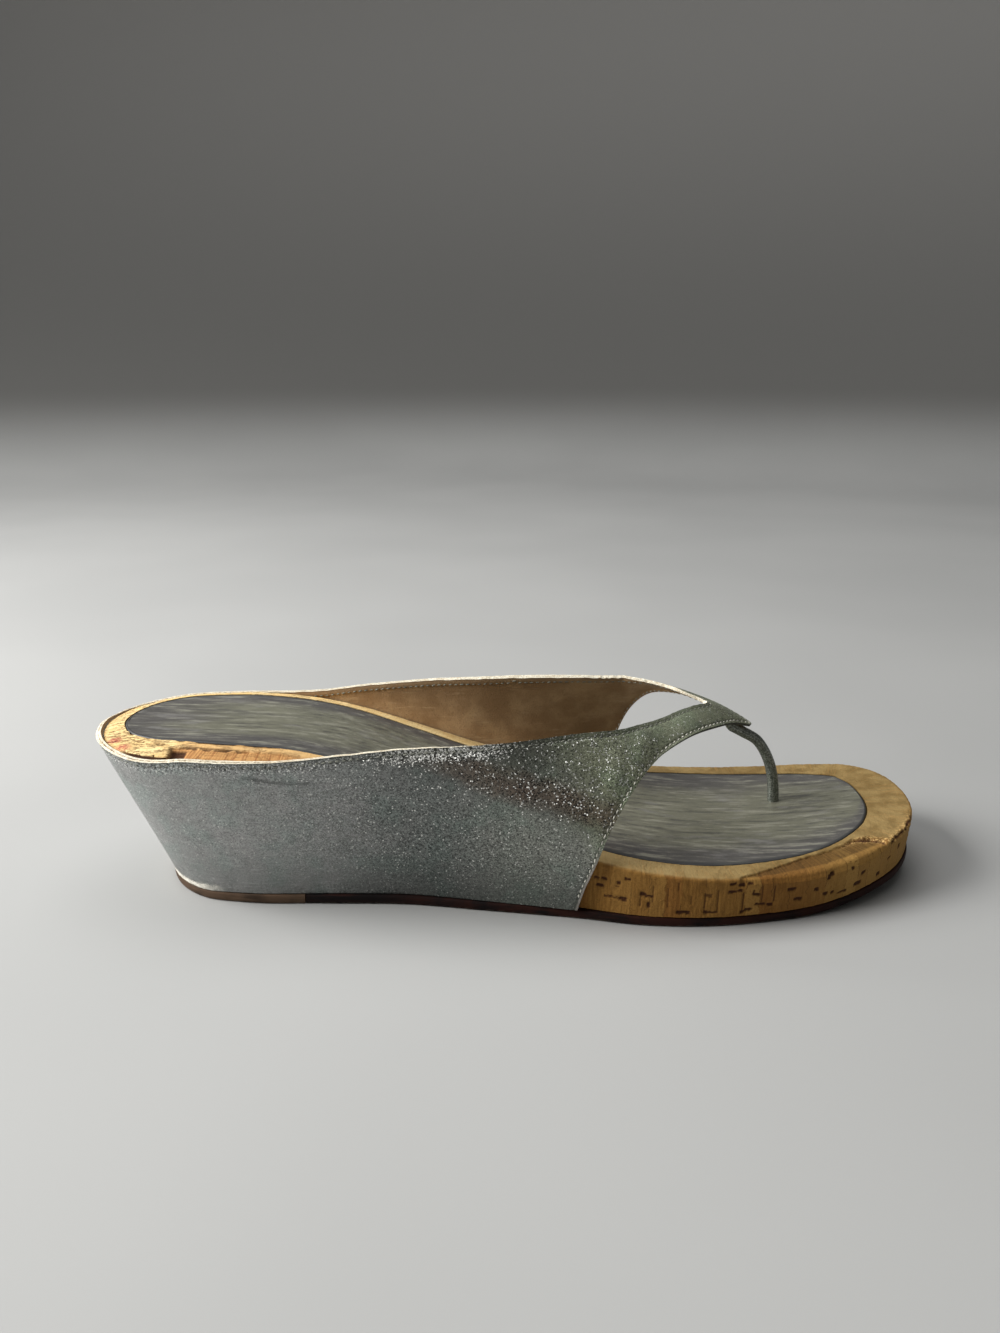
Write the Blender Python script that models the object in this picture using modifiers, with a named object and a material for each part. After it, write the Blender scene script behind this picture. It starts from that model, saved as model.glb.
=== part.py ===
"""Wedge thong mule for the right foot.

A cork wedge stands on a thin leather sole with a separate heel tap. A leather upper wraps the heel
and the sides of the wedge, rises into two wings and joins over the foot as a V strap, which a toe
post ties to the footbed. Sizes are millimetres here and metres in the scene. +X is the toe, +Z is
up, and the outer side of the foot is -Y.
"""

import bmesh
import bpy
import numpy as np
from mathutils import Vector

MM = 0.001

# Driving dimensions
GAP = 0.3
LEATHER_WALL = 1.6
SOLE_THICKNESS = 2.8
SOLE_EDGE_ROUND = 0.5
HEEL_TAP_FRONT = -60.5
WEDGE_EDGE_ROUND = 1.0
HEEL_CROWN = 1.4
TOE_CROWN = 0.4
CROWN_FADE = (-60.0, 20.0)
SOCK_THICKNESS = 1.2
SOCK_EDGE_ROUND = 0.5
POST_RADIUS = 1.7
POST_SOCKET_CLEARANCE = 0.4
POST_SOCKET_FLOOR = 9.0

# Sampling of the lofted pieces
ROW_STEPS = 3
STRAP_STEPS = 3
POST_STEPS = 4
SHARP_ANGLE = np.radians(40)
WELD_DISTANCE = 0.001
CUTTER_REACH = 200.0
RIB_STEPS = 13

# Plan of the wedge where it meets the sole, heel to toe. The footbed edge above each station lies
# further back and further out by the two flares.
PLAN_COLUMNS = ("x", "outer", "inner", "flare_back", "flare_side")
PLAN = {
    "heel back": (-103.5, 0.5, -0.5, 18.2, 0.0),
    "heel bend": (-98.5, 14.8, 13.6, 17.6, 2.8),
    "heel quarter": (-90.0, 22.2, 21.2, 15.8, 4.2),
    "heel side": (-78.5, 24.8, 24.2, 13.2, 5.0),
    "seat": (-55.0, 25.2, 24.8, 6.0, 4.8),
    "shank": (-30.0, 25.8, 23.2, 2.0, 4.6),
    "waist": (-8.0, 29.6, 23.6, 0.0, 4.0),
    "arch": (18.3, 35.0, 29.0, 0.0, 2.6),
    "ball back": (35.0, 39.4, 35.2, 0.0, 1.4),
    "ball": (52.0, 40.6, 38.4, 0.0, 1.0),
    "ball front": (70.0, 38.4, 39.0, 0.0, 1.0),
    "toes": (88.0, 33.6, 38.8, 0.0, 1.0),
    "toe bend": (104.0, 25.6, 37.0, -0.2, 1.0),
    "toe side": (115.0, 16.5, 33.2, -0.5, 0.8),
    "toe front": (121.5, 6.0, 25.5, -0.7, 0.5),
    "toe tip": (124.3, -9.0, 9.0, -0.9, 0.0),
}

# Height of the footbed edge, and of the sole's underside where the toe springs up
SIDE_COLUMNS = ("x", "bed", "tread")
SIDE = (
    (-126.0, 46.0, 0.0),
    (-100.0, 45.7, 0.0),
    (-80.0, 45.2, 0.0),
    (-66.0, 44.1, 0.0),
    (-50.0, 41.2, 0.0),
    (-30.0, 35.2, 0.0),
    (-10.0, 28.6, 0.0),
    (10.0, 22.5, 0.0),
    (25.0, 19.0, 0.0),
    (42.0, 16.5, 0.0),
    (58.0, 15.2, 0.0),
    (76.0, 15.0, 0.0),
    (90.0, 15.6, 0.6),
    (103.0, 16.8, 2.1),
    (114.0, 18.1, 3.6),
    (126.0, 19.7, 5.2),
)

# Width of the bare cork band between the footbed edge and the sock, which sits to the inner side
# at the heel
BAND_COLUMNS = ("x", "outer", "inner")
BAND = (
    (-122.0, 4.8, 4.4),
    (-113.0, 8.0, 4.4),
    (-104.0, 10.4, 4.8),
    (-92.0, 11.0, 5.4),
    (-75.0, 10.2, 6.0),
    (-50.0, 8.8, 6.8),
    (-20.0, 7.6, 7.6),
    (70.0, 7.6, 7.6),
    (95.0, 9.0, 9.0),
    (126.0, 13.5, 13.5),
)
# The band changes from the outer to the inner width across the middle of the heel and the toe
BAND_CHANGE = (-8.0, 8.0)

# How far the leather's outer face stands proud of the wedge at the sole, back and front
SOLE_PROUD_COLUMNS = ("x", "proud")
SOLE_PROUD = (
    (-126.0, 1.9),
    (5.0, 1.9),
    (30.0, 0.5),
    (126.0, 0.4),
)

# Top line of the leather on the wedge: how far it rises above the footbed edge and leans inwards
WING_COLUMNS = ("x", "outer_rise", "outer_lean", "inner_rise", "inner_lean")
WING = (
    (-126.0, 0.8, -0.9, 0.8, -0.9),
    (-119.0, 0.5, -0.6, 0.3, -0.5),
    (-112.0, -0.3, -0.25, -0.3, -0.2),
    (-106.0, -0.6, -0.12, -0.4, -0.15),
    (-100.0, -0.4, -0.15, -0.4, -0.15),
    (-92.0, 0.6, -0.3, -0.3, -0.15),
    (-80.0, 0.8, -0.3, -0.1, -0.15),
    (-64.0, 2.2, 0.0, 2.2, 0.0),
    (-47.0, 7.5, 0.0, 8.0, 0.0),
    (-30.0, 14.8, 0.3, 15.2, 0.3),
    (-14.0, 21.2, 2.0, 21.8, 1.6),
    (0.0, 26.5, 5.3, 27.2, 3.6),
    (18.3, 32.0, 14.2, 32.6, 8.0),
    (30.0, 33.6, 21.6, 34.8, 11.4),
)

# Ribs of the strap: each runs from the front edge of the leather to its top edge
STRAP_COLUMNS = ("front_x", "front_y", "front_z", "top_x", "top_y", "top_z", "bulge")
OUTER_STRAP = {
    "side": (25.9, -39.6, 28.2, 29.5, -20.8, 51.6, 3.2),
    "turn": (32.6, -33.9, 38.2, 35.5, -16.8, 51.3, 1.9),
    "slope": (41.0, -23.4, 43.8, 43.0, -10.5, 51.0, 1.2),
    "strap": (51.1, -14.3, 46.9, 50.0, -3.2, 51.0, 0.8),
    "fork": (60.6, -5.4, 46.7, 56.8, 2.6, 50.9, 0.3),
    "nose": (68.4, 2.6, 45.0, 59.4, 4.8, 50.5, 0.4),
}
STRAP_POINT = (74.6, 7.7, 42.8, 60.0, 6.2, 50.4, 0.5)
INNER_STRAP = {
    "nose": (68.8, 12.4, 45.8, 59.2, 7.6, 50.6, 0.4),
    "fork": (60.2, 16.8, 48.7, 54.5, 10.6, 52.0, 0.3),
    "strap": (52.3, 22.6, 48.8, 49.0, 16.6, 52.6, 0.5),
    "slope": (45.6, 29.8, 46.0, 43.8, 21.4, 52.8, 1.0),
    "turn": (40.2, 35.2, 39.0, 40.6, 23.5, 52.9, 1.5),
    "side": (35.8, 38.2, 28.8, 37.8, 25.2, 52.9, 2.1),
}
# Middle of the foot under the strap, from which the ribs bow away
FOOT_MIDDLE = (0.0, 3.0, 22.0)

# The leather's front corners at the sole: the outer one at a plan row, the inner one further on
OUTER_CORNER = list(PLAN).index("arch") * ROW_STEPS
INNER_CORNER = OUTER_CORNER + 2

# On the wedge the leather's front edge leans forward: ribs there start part of the way up the wall
FRONT_LEAN = 2.6
FRONT_STARTS = (0.5, 1.0)

# Middle line of the toe post, from under the strap to its socket in the wedge
POST_ROUTE = (
    (62.5, 6.9, 45.4),
    (67.5, 7.5, 42.6),
    (72.0, 7.9, 40.1),
    (77.5, 8.8, 36.3),
    (81.8, 9.8, 28.8),
    (83.8, 10.3, 20.0),
    (84.2, 10.4, POST_SOCKET_FLOOR + 1.0),
)


def column(rows, columns, name):
    """One named column of a table as an array."""
    values = rows.values() if isinstance(rows, dict) else rows
    return np.array([row[columns.index(name)] for row in values])


def smooth(knots, values, at):
    """Cubic curve through values at rising knots, read at the given places."""
    knots = np.asarray(knots, float)
    values = np.asarray(values, float)
    slopes = np.gradient(values, knots, axis=0)
    at = np.atleast_1d(np.asarray(at, float))
    low = np.clip(np.searchsorted(knots, at, side="right") - 1, 0, len(knots) - 2)
    span = knots[low + 1] - knots[low]
    share = (at - knots[low]) / span
    if values.ndim > 1:
        share = share[:, None]
        span = span[:, None]
    rest = 1 - share
    ends = values[low] * (1 + 2 * share) * rest**2 + values[low + 1] * (3 - 2 * share) * share**2
    leans = slopes[low] * share * rest**2 - slopes[low + 1] * share**2 * rest
    return ends + leans * span


def through(points, steps):
    """Closed smooth curve through points, with the given number of steps from each to the next."""
    points = np.asarray(points, float)
    count = len(points)
    wrapped = np.concatenate([points[-2:], points, points[:3]])
    chords = np.linalg.norm(np.diff(wrapped, axis=0), axis=1)
    knots = np.concatenate([[0.0], np.cumsum(chords)])
    steps = np.broadcast_to(steps, count)
    places = [
        np.linspace(knots[i + 2], knots[i + 3], steps[i], endpoint=False) for i in range(count)
    ]
    return smooth(knots, wrapped, np.concatenate(places))


def side_height(name, x):
    """Height of the footbed edge or of the tread at x, never below the floor."""
    return np.maximum(smooth(column(SIDE, SIDE_COLUMNS, "x"), column(SIDE, SIDE_COLUMNS, name), x), 0)


def plan_ring(at_footbed, outward=0.0):
    """Plan of the wedge as a closed ring from the heel back, round the outer side, the toe and the
    inner side, moved outwards by a distance that may differ from point to point."""
    x = column(PLAN, PLAN_COLUMNS, "x") - at_footbed * column(PLAN, PLAN_COLUMNS, "flare_back")
    side = at_footbed * column(PLAN, PLAN_COLUMNS, "flare_side")
    outer = np.stack([x, -column(PLAN, PLAN_COLUMNS, "outer") - side], axis=1)
    inner = np.stack([x, column(PLAN, PLAN_COLUMNS, "inner") + side], axis=1)
    ring = through(np.concatenate([outer, inner[-2:0:-1]]), ROW_STEPS)
    along = np.roll(ring, -1, axis=0) - np.roll(ring, 1, axis=0)
    along /= np.linalg.norm(along, axis=1)[:, None]
    normal = np.stack([along[:, 1], -along[:, 0]], axis=1)
    return ring + normal * np.broadcast_to(outward, len(ring))[:, None]


def lifted(ring, height):
    """A plan ring with a height for each of its points."""
    return np.column_stack([ring, np.broadcast_to(height, len(ring))])


def crown(x):
    """Rise of the footbed from its edge to the sock: the heel seat is crowned, the toe nearly flat."""
    return np.interp(x, CROWN_FADE, (HEEL_CROWN, TOE_CROWN))


def sock_ring(clear, lower):
    """Ring at the rim of the sock, moved inwards by clear and down from the footbed by lower."""
    edge = plan_ring(1.0)
    outer, inner = (
        smooth(column(BAND, BAND_COLUMNS, "x"), column(BAND, BAND_COLUMNS, side), edge[:, 0])
        for side in ("outer", "inner")
    )
    band = outer + (inner - outer) * np.interp(edge[:, 1], BAND_CHANGE, (0.0, 1.0))
    ring = plan_ring(1.0, -band - clear)
    return lifted(ring, side_height("bed", ring[:, 0]) + crown(ring[:, 0]) - lower)


def finish(name, bm, colour, roughness, metallic):
    """A named object of the shoe with its own material, from a mesh in millimetres."""
    bmesh.ops.recalc_face_normals(bm, faces=bm.faces)
    bmesh.ops.scale(bm, vec=Vector((MM, MM, MM)), verts=bm.verts)
    mesh = bpy.data.meshes.new(name)
    bm.to_mesh(mesh)
    bm.free()
    mesh.shade_smooth()
    mesh.set_sharp_from_angle(angle=SHARP_ANGLE)
    material = bpy.data.materials.new(name)
    material.use_nodes = True
    shader = material.node_tree.nodes["Principled BSDF"]
    shader.inputs["Base Color"].default_value = (*colour, 1.0)
    shader.inputs["Roughness"].default_value = roughness
    shader.inputs["Metallic"].default_value = metallic
    mesh.materials.append(material)
    obj = bpy.data.objects.new(name, mesh)
    shoe.objects.link(obj)
    obj.parent = root
    return obj


def loft(rings):
    """Closed solid through rings of equal count, low to high, capped across from side to side."""
    bm = bmesh.new()
    loops = [[bm.verts.new(point) for point in ring] for ring in rings]
    count = len(loops[0])
    for below, above in zip(loops, loops[1:]):
        for i in range(count):
            j = (i + 1) % count
            bm.faces.new((below[i], below[j], above[j], above[i]))
    for loop in (loops[0], loops[-1]):
        for i in range(count // 2):
            corners = (loop[i], loop[i + 1], loop[count - i - 1], loop[-i])
            bm.faces.new(tuple(dict.fromkeys(corners)))
    return bm


def box_cutter(name, low, high):
    """A box between two corners, in millimetres, that cuts and isn't part of the shoe."""
    bm = bmesh.new()
    bmesh.ops.create_cube(bm, size=1.0)
    middle = (Vector(low) + Vector(high)) / 2
    size = Vector(high) - Vector(low)
    bmesh.ops.scale(bm, vec=size * MM, verts=bm.verts)
    bmesh.ops.translate(bm, vec=middle * MM, verts=bm.verts)
    return cutter_object(name, bm)


def cutter_object(name, bm):
    """A hidden cutter from a mesh in metres."""
    mesh = bpy.data.meshes.new(name)
    bm.to_mesh(mesh)
    bm.free()
    obj = bpy.data.objects.new(name, mesh)
    cutters.objects.link(obj)
    obj.parent = root
    obj.hide_render = True
    obj.display_type = "WIRE"
    return obj


def cut(obj, cutter):
    """Take the cutter's shape out of an object."""
    modifier = obj.modifiers.new("cut by " + cutter.name, "BOOLEAN")
    modifier.operation = "DIFFERENCE"
    modifier.solver = "EXACT"
    modifier.object = cutter


def whole_sole():
    """The sole from heel to toe, before it is parted into heel tap and outsole."""
    rings = []
    levels = ((0.0, SOLE_EDGE_ROUND), (SOLE_EDGE_ROUND, 0.0), (SOLE_THICKNESS, 0.0))
    stations = column(SOLE_PROUD, SOLE_PROUD_COLUMNS, "x")
    proud = smooth(stations, column(SOLE_PROUD, SOLE_PROUD_COLUMNS, "proud"), plan_ring(0.0)[:, 0])
    for level, inwards in levels:
        ring = plan_ring(0.0, proud - inwards)
        rings.append(lifted(ring, side_height("tread", ring[:, 0]) + level))
    return loft(rings)


def make_sole():
    """Heel tap and outsole: one plan, parted by a straight joint across the shoe."""
    tap = finish("heel_tap", whole_sole(), (0.16, 0.09, 0.05), 0.6, 0.0)
    sole = finish("outsole", whole_sole(), (0.035, 0.02, 0.016), 0.55, 0.0)
    low = (-CUTTER_REACH, -CUTTER_REACH, -CUTTER_REACH)
    high = (CUTTER_REACH, CUTTER_REACH, CUTTER_REACH)
    cut(tap, box_cutter("front_of_tap", (HEEL_TAP_FRONT, *low[1:]), high))
    cut(sole, box_cutter("back_of_outsole", low, (HEEL_TAP_FRONT + GAP, *high[1:])))


def make_wedge(post_hole):
    """Cork wedge: sloping walls, a rounded edge, a crowned band and a recess for the sock."""
    under = plan_ring(0.0)
    edge = plan_ring(1.0)
    rounded = plan_ring(1.0, -WEDGE_EDGE_ROUND)
    recess = SOCK_THICKNESS + GAP
    rings = (
        lifted(under, side_height("tread", under[:, 0]) + SOLE_THICKNESS + GAP),
        lifted(edge, side_height("bed", edge[:, 0]) - WEDGE_EDGE_ROUND),
        lifted(rounded, side_height("bed", rounded[:, 0])),
        sock_ring(0.0, 0.0),
        sock_ring(0.0, recess),
    )
    wedge = finish("wedge", loft(rings), (0.52, 0.32, 0.14), 0.8, 0.0)
    cut(wedge, post_hole)


def make_insole(post_hole):
    """Sock of thin leather, let into the footbed with its top level with the cork."""
    rings = (
        sock_ring(GAP, SOCK_THICKNESS),
        sock_ring(GAP, SOCK_EDGE_ROUND),
        sock_ring(GAP + SOCK_EDGE_ROUND, 0.0),
    )
    insole = finish("insole", loft(rings), (0.10, 0.12, 0.12), 0.5, 0.0)
    cut(insole, post_hole)


def bent(start, control, end):
    """Points along a quadratic curve from start to end."""
    share = np.linspace(0, 1, 4 * RIB_STEPS)[:, None]
    return start * (1 - share) ** 2 + 2 * control * share * (1 - share) + end * share**2


def evenly(points):
    """The points of a rib, spread evenly along it."""
    lengths = np.concatenate([[0.0], np.cumsum(np.linalg.norm(np.diff(points, axis=0), axis=1))])
    places = np.linspace(0, lengths[-1], RIB_STEPS + 1)
    return np.stack([np.interp(places, lengths, points[:, axis]) for axis in range(3)], axis=1)


def wall_lines():
    """For each point of the plan ring: the leather's outer face at the sole, the same at the footbed
    edge, and the wedge there."""
    foot = plan_ring(0.0)
    edge = plan_ring(1.0)
    height = side_height("bed", edge[:, 0]) - WEDGE_EDGE_ROUND - SOLE_THICKNESS - GAP
    slant = np.hypot(height, np.linalg.norm(edge - foot, axis=1)) / height
    away = (GAP + LEATHER_WALL) * slant
    low = lifted(plan_ring(0.0, away), side_height("tread", foot[:, 0]) + SOLE_THICKNESS + GAP)
    high = lifted(plan_ring(1.0, away), side_height("bed", edge[:, 0]) - WEDGE_EDGE_ROUND)
    return np.stack([low, high, lifted(edge, high[:, 2])], axis=1)


def wall_rib(line, hand, start=0.0):
    """Rib of the leather on the wedge, which starts at a share of the wall's height: up to the
    footbed edge, then on in the same direction and over towards the foot."""
    low, edge, wedge = line
    x = column(WING, WING_COLUMNS, "x")
    rise = smooth(x, column(WING, WING_COLUMNS, hand + "_rise"), edge[0])[0] + WEDGE_EDGE_ROUND
    lean = smooth(x, column(WING, WING_COLUMNS, hand + "_lean"), edge[0])[0]
    inward = (wedge - edge) / np.linalg.norm(wedge - edge)
    top = edge + inward * lean + (0, 0, rise)
    wall = edge - low
    shoulder = edge + wall / np.linalg.norm(wall) * rise / 2
    return evenly(np.concatenate([[low + wall * start], bent(edge, shoulder, top)]))


def front_ribs(lines, corner, ahead, hand):
    """Ribs along the leather's front edge on the wedge, from its corner to the footbed edge."""
    step = lines[ahead, 1, 0] - lines[corner, 1, 0]
    ribs = []
    for start in FRONT_STARTS:
        share = start * FRONT_LEAN / step
        ribs.append(wall_rib(lines[corner] * (1 - share) + lines[ahead] * share, hand, start))
    return ribs


def strap_ribs():
    """Ribs of the strap in order round the V, each bowed away from the foot by its bulge."""
    rows = [*OUTER_STRAP.values(), STRAP_POINT, *INNER_STRAP.values()]
    fronts = np.array([row[: STRAP_COLUMNS.index("top_x")] for row in rows])
    tops = np.array([row[STRAP_COLUMNS.index("top_x") : STRAP_COLUMNS.index("bulge")] for row in rows])
    middles = (fronts + tops) / 2
    chords = (tops - fronts) / np.linalg.norm(tops - fronts, axis=1)[:, None]
    outward = (middles - FOOT_MIDDLE) * (0, 1, 1)
    outward -= chords * np.sum(outward * chords, axis=1)[:, None]
    outward /= np.linalg.norm(outward, axis=1)[:, None]
    bulges = np.array([row[STRAP_COLUMNS.index("bulge")] for row in rows])
    controls = middles + 2 * bulges[:, None] * outward
    return [evenly(bent(*ends)) for ends in zip(fronts, controls, tops)]


def make_upper():
    """The leather: one sheet of ribs all the way round, given its wall towards the foot."""
    lines = wall_lines()
    outer = [wall_rib(line, "outer") for line in lines[: OUTER_CORNER + 1]]
    outer += front_ribs(lines, OUTER_CORNER, OUTER_CORNER + 1, "outer")
    last = len(lines) - INNER_CORNER
    inner = front_ribs(lines, last, last - 1, "inner")[::-1]
    inner += [wall_rib(line, "inner") for line in lines[last:]]
    strap = strap_ribs()
    ribs = np.array([*outer, *strap, *inner])
    steps = np.ones(len(ribs), int)
    steps[len(outer) - 1 : len(outer) + len(strap)] = STRAP_STEPS
    lines = np.array([through(ribs[:, i], steps) for i in range(RIB_STEPS + 1)])
    bm = bmesh.new()
    loops = [[bm.verts.new(point) for point in line] for line in lines]
    count = len(loops[0])
    for below, above in zip(loops, loops[1:]):
        for i in range(count):
            j = (i + 1) % count
            bm.faces.new((below[i], below[j], above[j], above[i]))
    upper = finish("upper", bm, (0.30, 0.33, 0.33), 0.45, 0.7)
    wall = upper.modifiers.new("leather and lining", "SOLIDIFY")
    wall.thickness = LEATHER_WALL * MM
    wall.offset = -1.0
    wall.use_even_offset = True


def post_curve(name, radius, route):
    """A round rod along a smooth route, as a closed mesh in metres."""
    knots = np.arange(len(route))
    places = np.linspace(0, knots[-1], knots[-1] * POST_STEPS + 1)
    points = smooth(knots, route, places)
    curve = bpy.data.curves.new(name, "CURVE")
    curve.dimensions = "3D"
    curve.bevel_depth = radius * MM
    curve.bevel_resolution = 3
    curve.use_fill_caps = True
    spline = curve.splines.new("POLY")
    spline.points.add(len(points) - 1)
    for point, place in zip(spline.points, points * MM):
        point.co = (*place, 1.0)
    rod = bpy.data.objects.new(name, curve)
    bpy.context.scene.collection.objects.link(rod)
    bpy.context.view_layer.update()
    solid = rod.evaluated_get(bpy.context.evaluated_depsgraph_get())
    mesh = bpy.data.meshes.new_from_object(solid)
    bpy.data.objects.remove(rod)
    bm = bmesh.new()
    bm.from_mesh(mesh)
    bpy.data.meshes.remove(mesh)
    bmesh.ops.remove_doubles(bm, verts=bm.verts, dist=WELD_DISTANCE * MM)
    bmesh.ops.recalc_face_normals(bm, faces=bm.faces)
    return bm


def make_post():
    """Toe post, and the cutter of the socket that it stands in."""
    rod = post_curve("toe_post", POST_RADIUS, np.array(POST_ROUTE))
    bmesh.ops.scale(rod, vec=Vector((1 / MM, 1 / MM, 1 / MM)), verts=rod.verts)
    finish("toe_post", rod, (0.12, 0.13, 0.12), 0.5, 0.4)
    foot = np.array(POST_ROUTE[-3:])
    foot[-1, 2] = POST_SOCKET_FLOOR
    hole = post_curve("post_socket", POST_RADIUS + POST_SOCKET_CLEARANCE, foot)
    return cutter_object("post_socket", hole)


def centre_on_floor():
    """Move the shoe so that the middle of its bounding box is over the origin."""
    bpy.context.view_layer.update()
    graph = bpy.context.evaluated_depsgraph_get()
    corners = []
    for obj in shoe.objects:
        if obj.type == "MESH":
            solid = obj.evaluated_get(graph)
            corners += [solid.matrix_world @ vertex.co for vertex in solid.data.vertices]
    corners = np.array(corners)
    middle = (corners.min(axis=0) + corners.max(axis=0)) / 2
    root.location = (-middle[0], -middle[1], -corners[:, 2].min())


for old in list(bpy.data.objects):
    bpy.data.objects.remove(old)
shoe = bpy.data.collections.new("wedge thong mule")
cutters = bpy.data.collections.new("cutters")
bpy.context.scene.collection.children.link(shoe)
bpy.context.scene.collection.children.link(cutters)
cutters.hide_render = True
root = bpy.data.objects.new("shoe", None)
shoe.objects.link(root)

socket = make_post()
make_sole()
make_wedge(socket)
make_insole(socket)
make_upper()
centre_on_floor()
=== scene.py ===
"""Wedge thong mule for the right foot. Sizes are millimetres on the last: the toe is at +X, the
outer side at -Y and up at +Z. Each finished piece is moved into the frame, which is in metres."""

import bmesh
import bpy
import numpy as np
from mathutils import Matrix, Vector, noise
from mathutils.bvhtree import BVHTree


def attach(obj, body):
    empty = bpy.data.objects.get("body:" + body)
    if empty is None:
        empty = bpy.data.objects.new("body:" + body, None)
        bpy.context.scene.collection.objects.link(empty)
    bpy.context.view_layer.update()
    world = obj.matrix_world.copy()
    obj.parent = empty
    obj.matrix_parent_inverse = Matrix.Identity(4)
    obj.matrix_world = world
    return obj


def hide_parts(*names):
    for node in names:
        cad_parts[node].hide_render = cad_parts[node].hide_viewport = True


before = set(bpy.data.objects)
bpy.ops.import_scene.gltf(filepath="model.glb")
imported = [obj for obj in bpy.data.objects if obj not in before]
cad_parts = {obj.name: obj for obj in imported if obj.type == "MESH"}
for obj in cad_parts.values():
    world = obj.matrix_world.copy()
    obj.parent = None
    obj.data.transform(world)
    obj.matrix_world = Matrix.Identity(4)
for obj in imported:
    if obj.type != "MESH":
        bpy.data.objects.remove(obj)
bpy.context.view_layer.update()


# Heel tap and outsole: one thickness of stiff leather cut to the plan of the wedge and glued under
# it. The tap is left brown, the sole is stained nearly black and reddens where the stain is thin,
# and the two butt together under the heel.

TO_FRAME = Matrix.Scale(0.001, 4) @ Matrix.Translation((-0.280, 0.783, 0.0))
LEATHER_WALL = 1.6
GLUE_GAP = 0.3
SOLE_THICKNESS = 2.8
TAP_FRONT = -60.5
TAP_JOINT = 0.3

# Plan at the sole, heel to toe: place, half widths outside and inside, and how much further back
# and out the footbed edge lies above it.
PLAN = np.array((
    (-103.5, 0.5, -0.5, 18.2, 0.0),
    (-98.5, 14.8, 13.6, 17.6, 2.8),
    (-90.0, 22.2, 21.2, 15.8, 4.2),
    (-78.5, 24.8, 24.2, 13.2, 5.0),
    (-55.0, 25.2, 24.8, 6.0, 4.8),
    (-30.0, 25.8, 23.2, 2.0, 4.6),
    (-8.0, 29.6, 23.6, 0.0, 4.0),
    (18.3, 35.0, 29.0, 0.0, 2.6),
    (35.0, 39.4, 35.2, 0.0, 1.4),
    (52.0, 40.6, 38.4, 0.0, 1.0),
    (70.0, 38.4, 39.0, 0.0, 1.0),
    (88.0, 33.6, 38.8, 0.0, 1.0),
    (104.0, 25.6, 37.0, -0.2, 1.0),
    (115.0, 16.5, 33.2, -0.5, 0.8),
    (121.5, 6.0, 25.5, -0.7, 0.5),
    (124.3, -9.0, 9.0, -0.9, 0.0),
))
TOE_TURN = len(PLAN) - 1
ROUND = 2 * TOE_TURN

# Side view: height of the footbed edge and of the tread, which springs up at the toe.
SIDE = np.array((
    (-126.0, 46.0, 0.0),
    (-100.0, 45.7, 0.0),
    (-80.0, 45.2, 0.0),
    (-66.0, 44.1, 0.0),
    (-50.0, 41.2, 0.0),
    (-30.0, 35.2, 0.0),
    (-10.0, 28.6, 0.0),
    (10.0, 22.5, 0.0),
    (25.0, 19.0, 0.0),
    (42.0, 16.5, 0.0),
    (58.0, 15.2, 0.0),
    (76.0, 15.0, 0.0),
    (90.0, 15.6, 0.6),
    (103.0, 16.8, 2.1),
    (114.0, 18.1, 3.6),
    (126.0, 19.7, 5.2),
))
# How far the sole's edge stands out from the wedge: level with the leather behind, with the cork
# in front.
SOLE_PROUD = np.array(((-126.0, 1.9), (5.0, 1.9), (30.0, 0.5), (126.0, 0.4)))


def smooth(knots, values, at):
    """Cubic curve through values at rising knots."""
    slopes = np.gradient(values, knots, axis=0)
    at = np.atleast_1d(np.asarray(at, float))
    low = np.clip(np.searchsorted(knots, at, side="right") - 1, 0, len(knots) - 2)
    span = knots[low + 1] - knots[low]
    share = (at - knots[low]) / span
    if values.ndim > 1:
        share, span = share[:, None], span[:, None]
    rest = 1 - share
    ends = values[low] * (1 + 2 * share) * rest**2 + values[low + 1] * (3 - 2 * share) * share**2
    return ends + (slopes[low] * share * rest**2 - slopes[low + 1] * share**2 * rest) * span


def closed_curve(points, turns):
    """Smooth closed curve through points; turn 2.5 is halfway from the third point to the fourth."""
    count = len(points)
    wrapped = np.concatenate([points[-2:], points, points[:3]])
    chords = np.linalg.norm(np.diff(wrapped, axis=0), axis=1)
    knots = np.concatenate([[0.0], np.cumsum(chords)])
    turns = np.mod(turns, count)
    whole = np.floor(turns).astype(int)
    return smooth(knots, wrapped, knots[whole + 2] + (turns - whole) * chords[whole + 2])


def unit(vectors):
    """Vectors of the same directions, each of length one."""
    return vectors / np.linalg.norm(vectors, axis=-1)[..., None]


def bed_height(x):
    return smooth(SIDE[:, 0], SIDE[:, 1], x)


def tread_height(x):
    return np.maximum(smooth(SIDE[:, 0], SIDE[:, 2], x), 0)


def plan_at(turns, flare, outward=0.0):
    """Plan of the wedge at the sole (flare 0) or the footbed edge (flare 1), moved outwards."""
    x = PLAN[:, 0] - flare * PLAN[:, 3]
    outer = np.column_stack([x, -PLAN[:, 1] - flare * PLAN[:, 4]])
    inner = np.column_stack([x, PLAN[:, 2] + flare * PLAN[:, 4]])
    stations = np.concatenate([outer, inner[-2:0:-1]])
    along = unit(closed_curve(stations, turns + 1 / 3) - closed_curve(stations, turns - 1 / 3))
    normal = np.column_stack([along[:, 1], -along[:, 0]])
    return closed_curve(stations, turns) + normal * np.broadcast_to(outward, len(turns))[:, None]


def to_middle(ring, shares):
    """Rings between a ring and the middle line of the shoe, which the last one lies on. The ring's
    first half mirrors its second half."""
    middle = (ring + ring[::-1]) / 2
    return [ring * (1 - share) + middle * share for share in shares]


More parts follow.
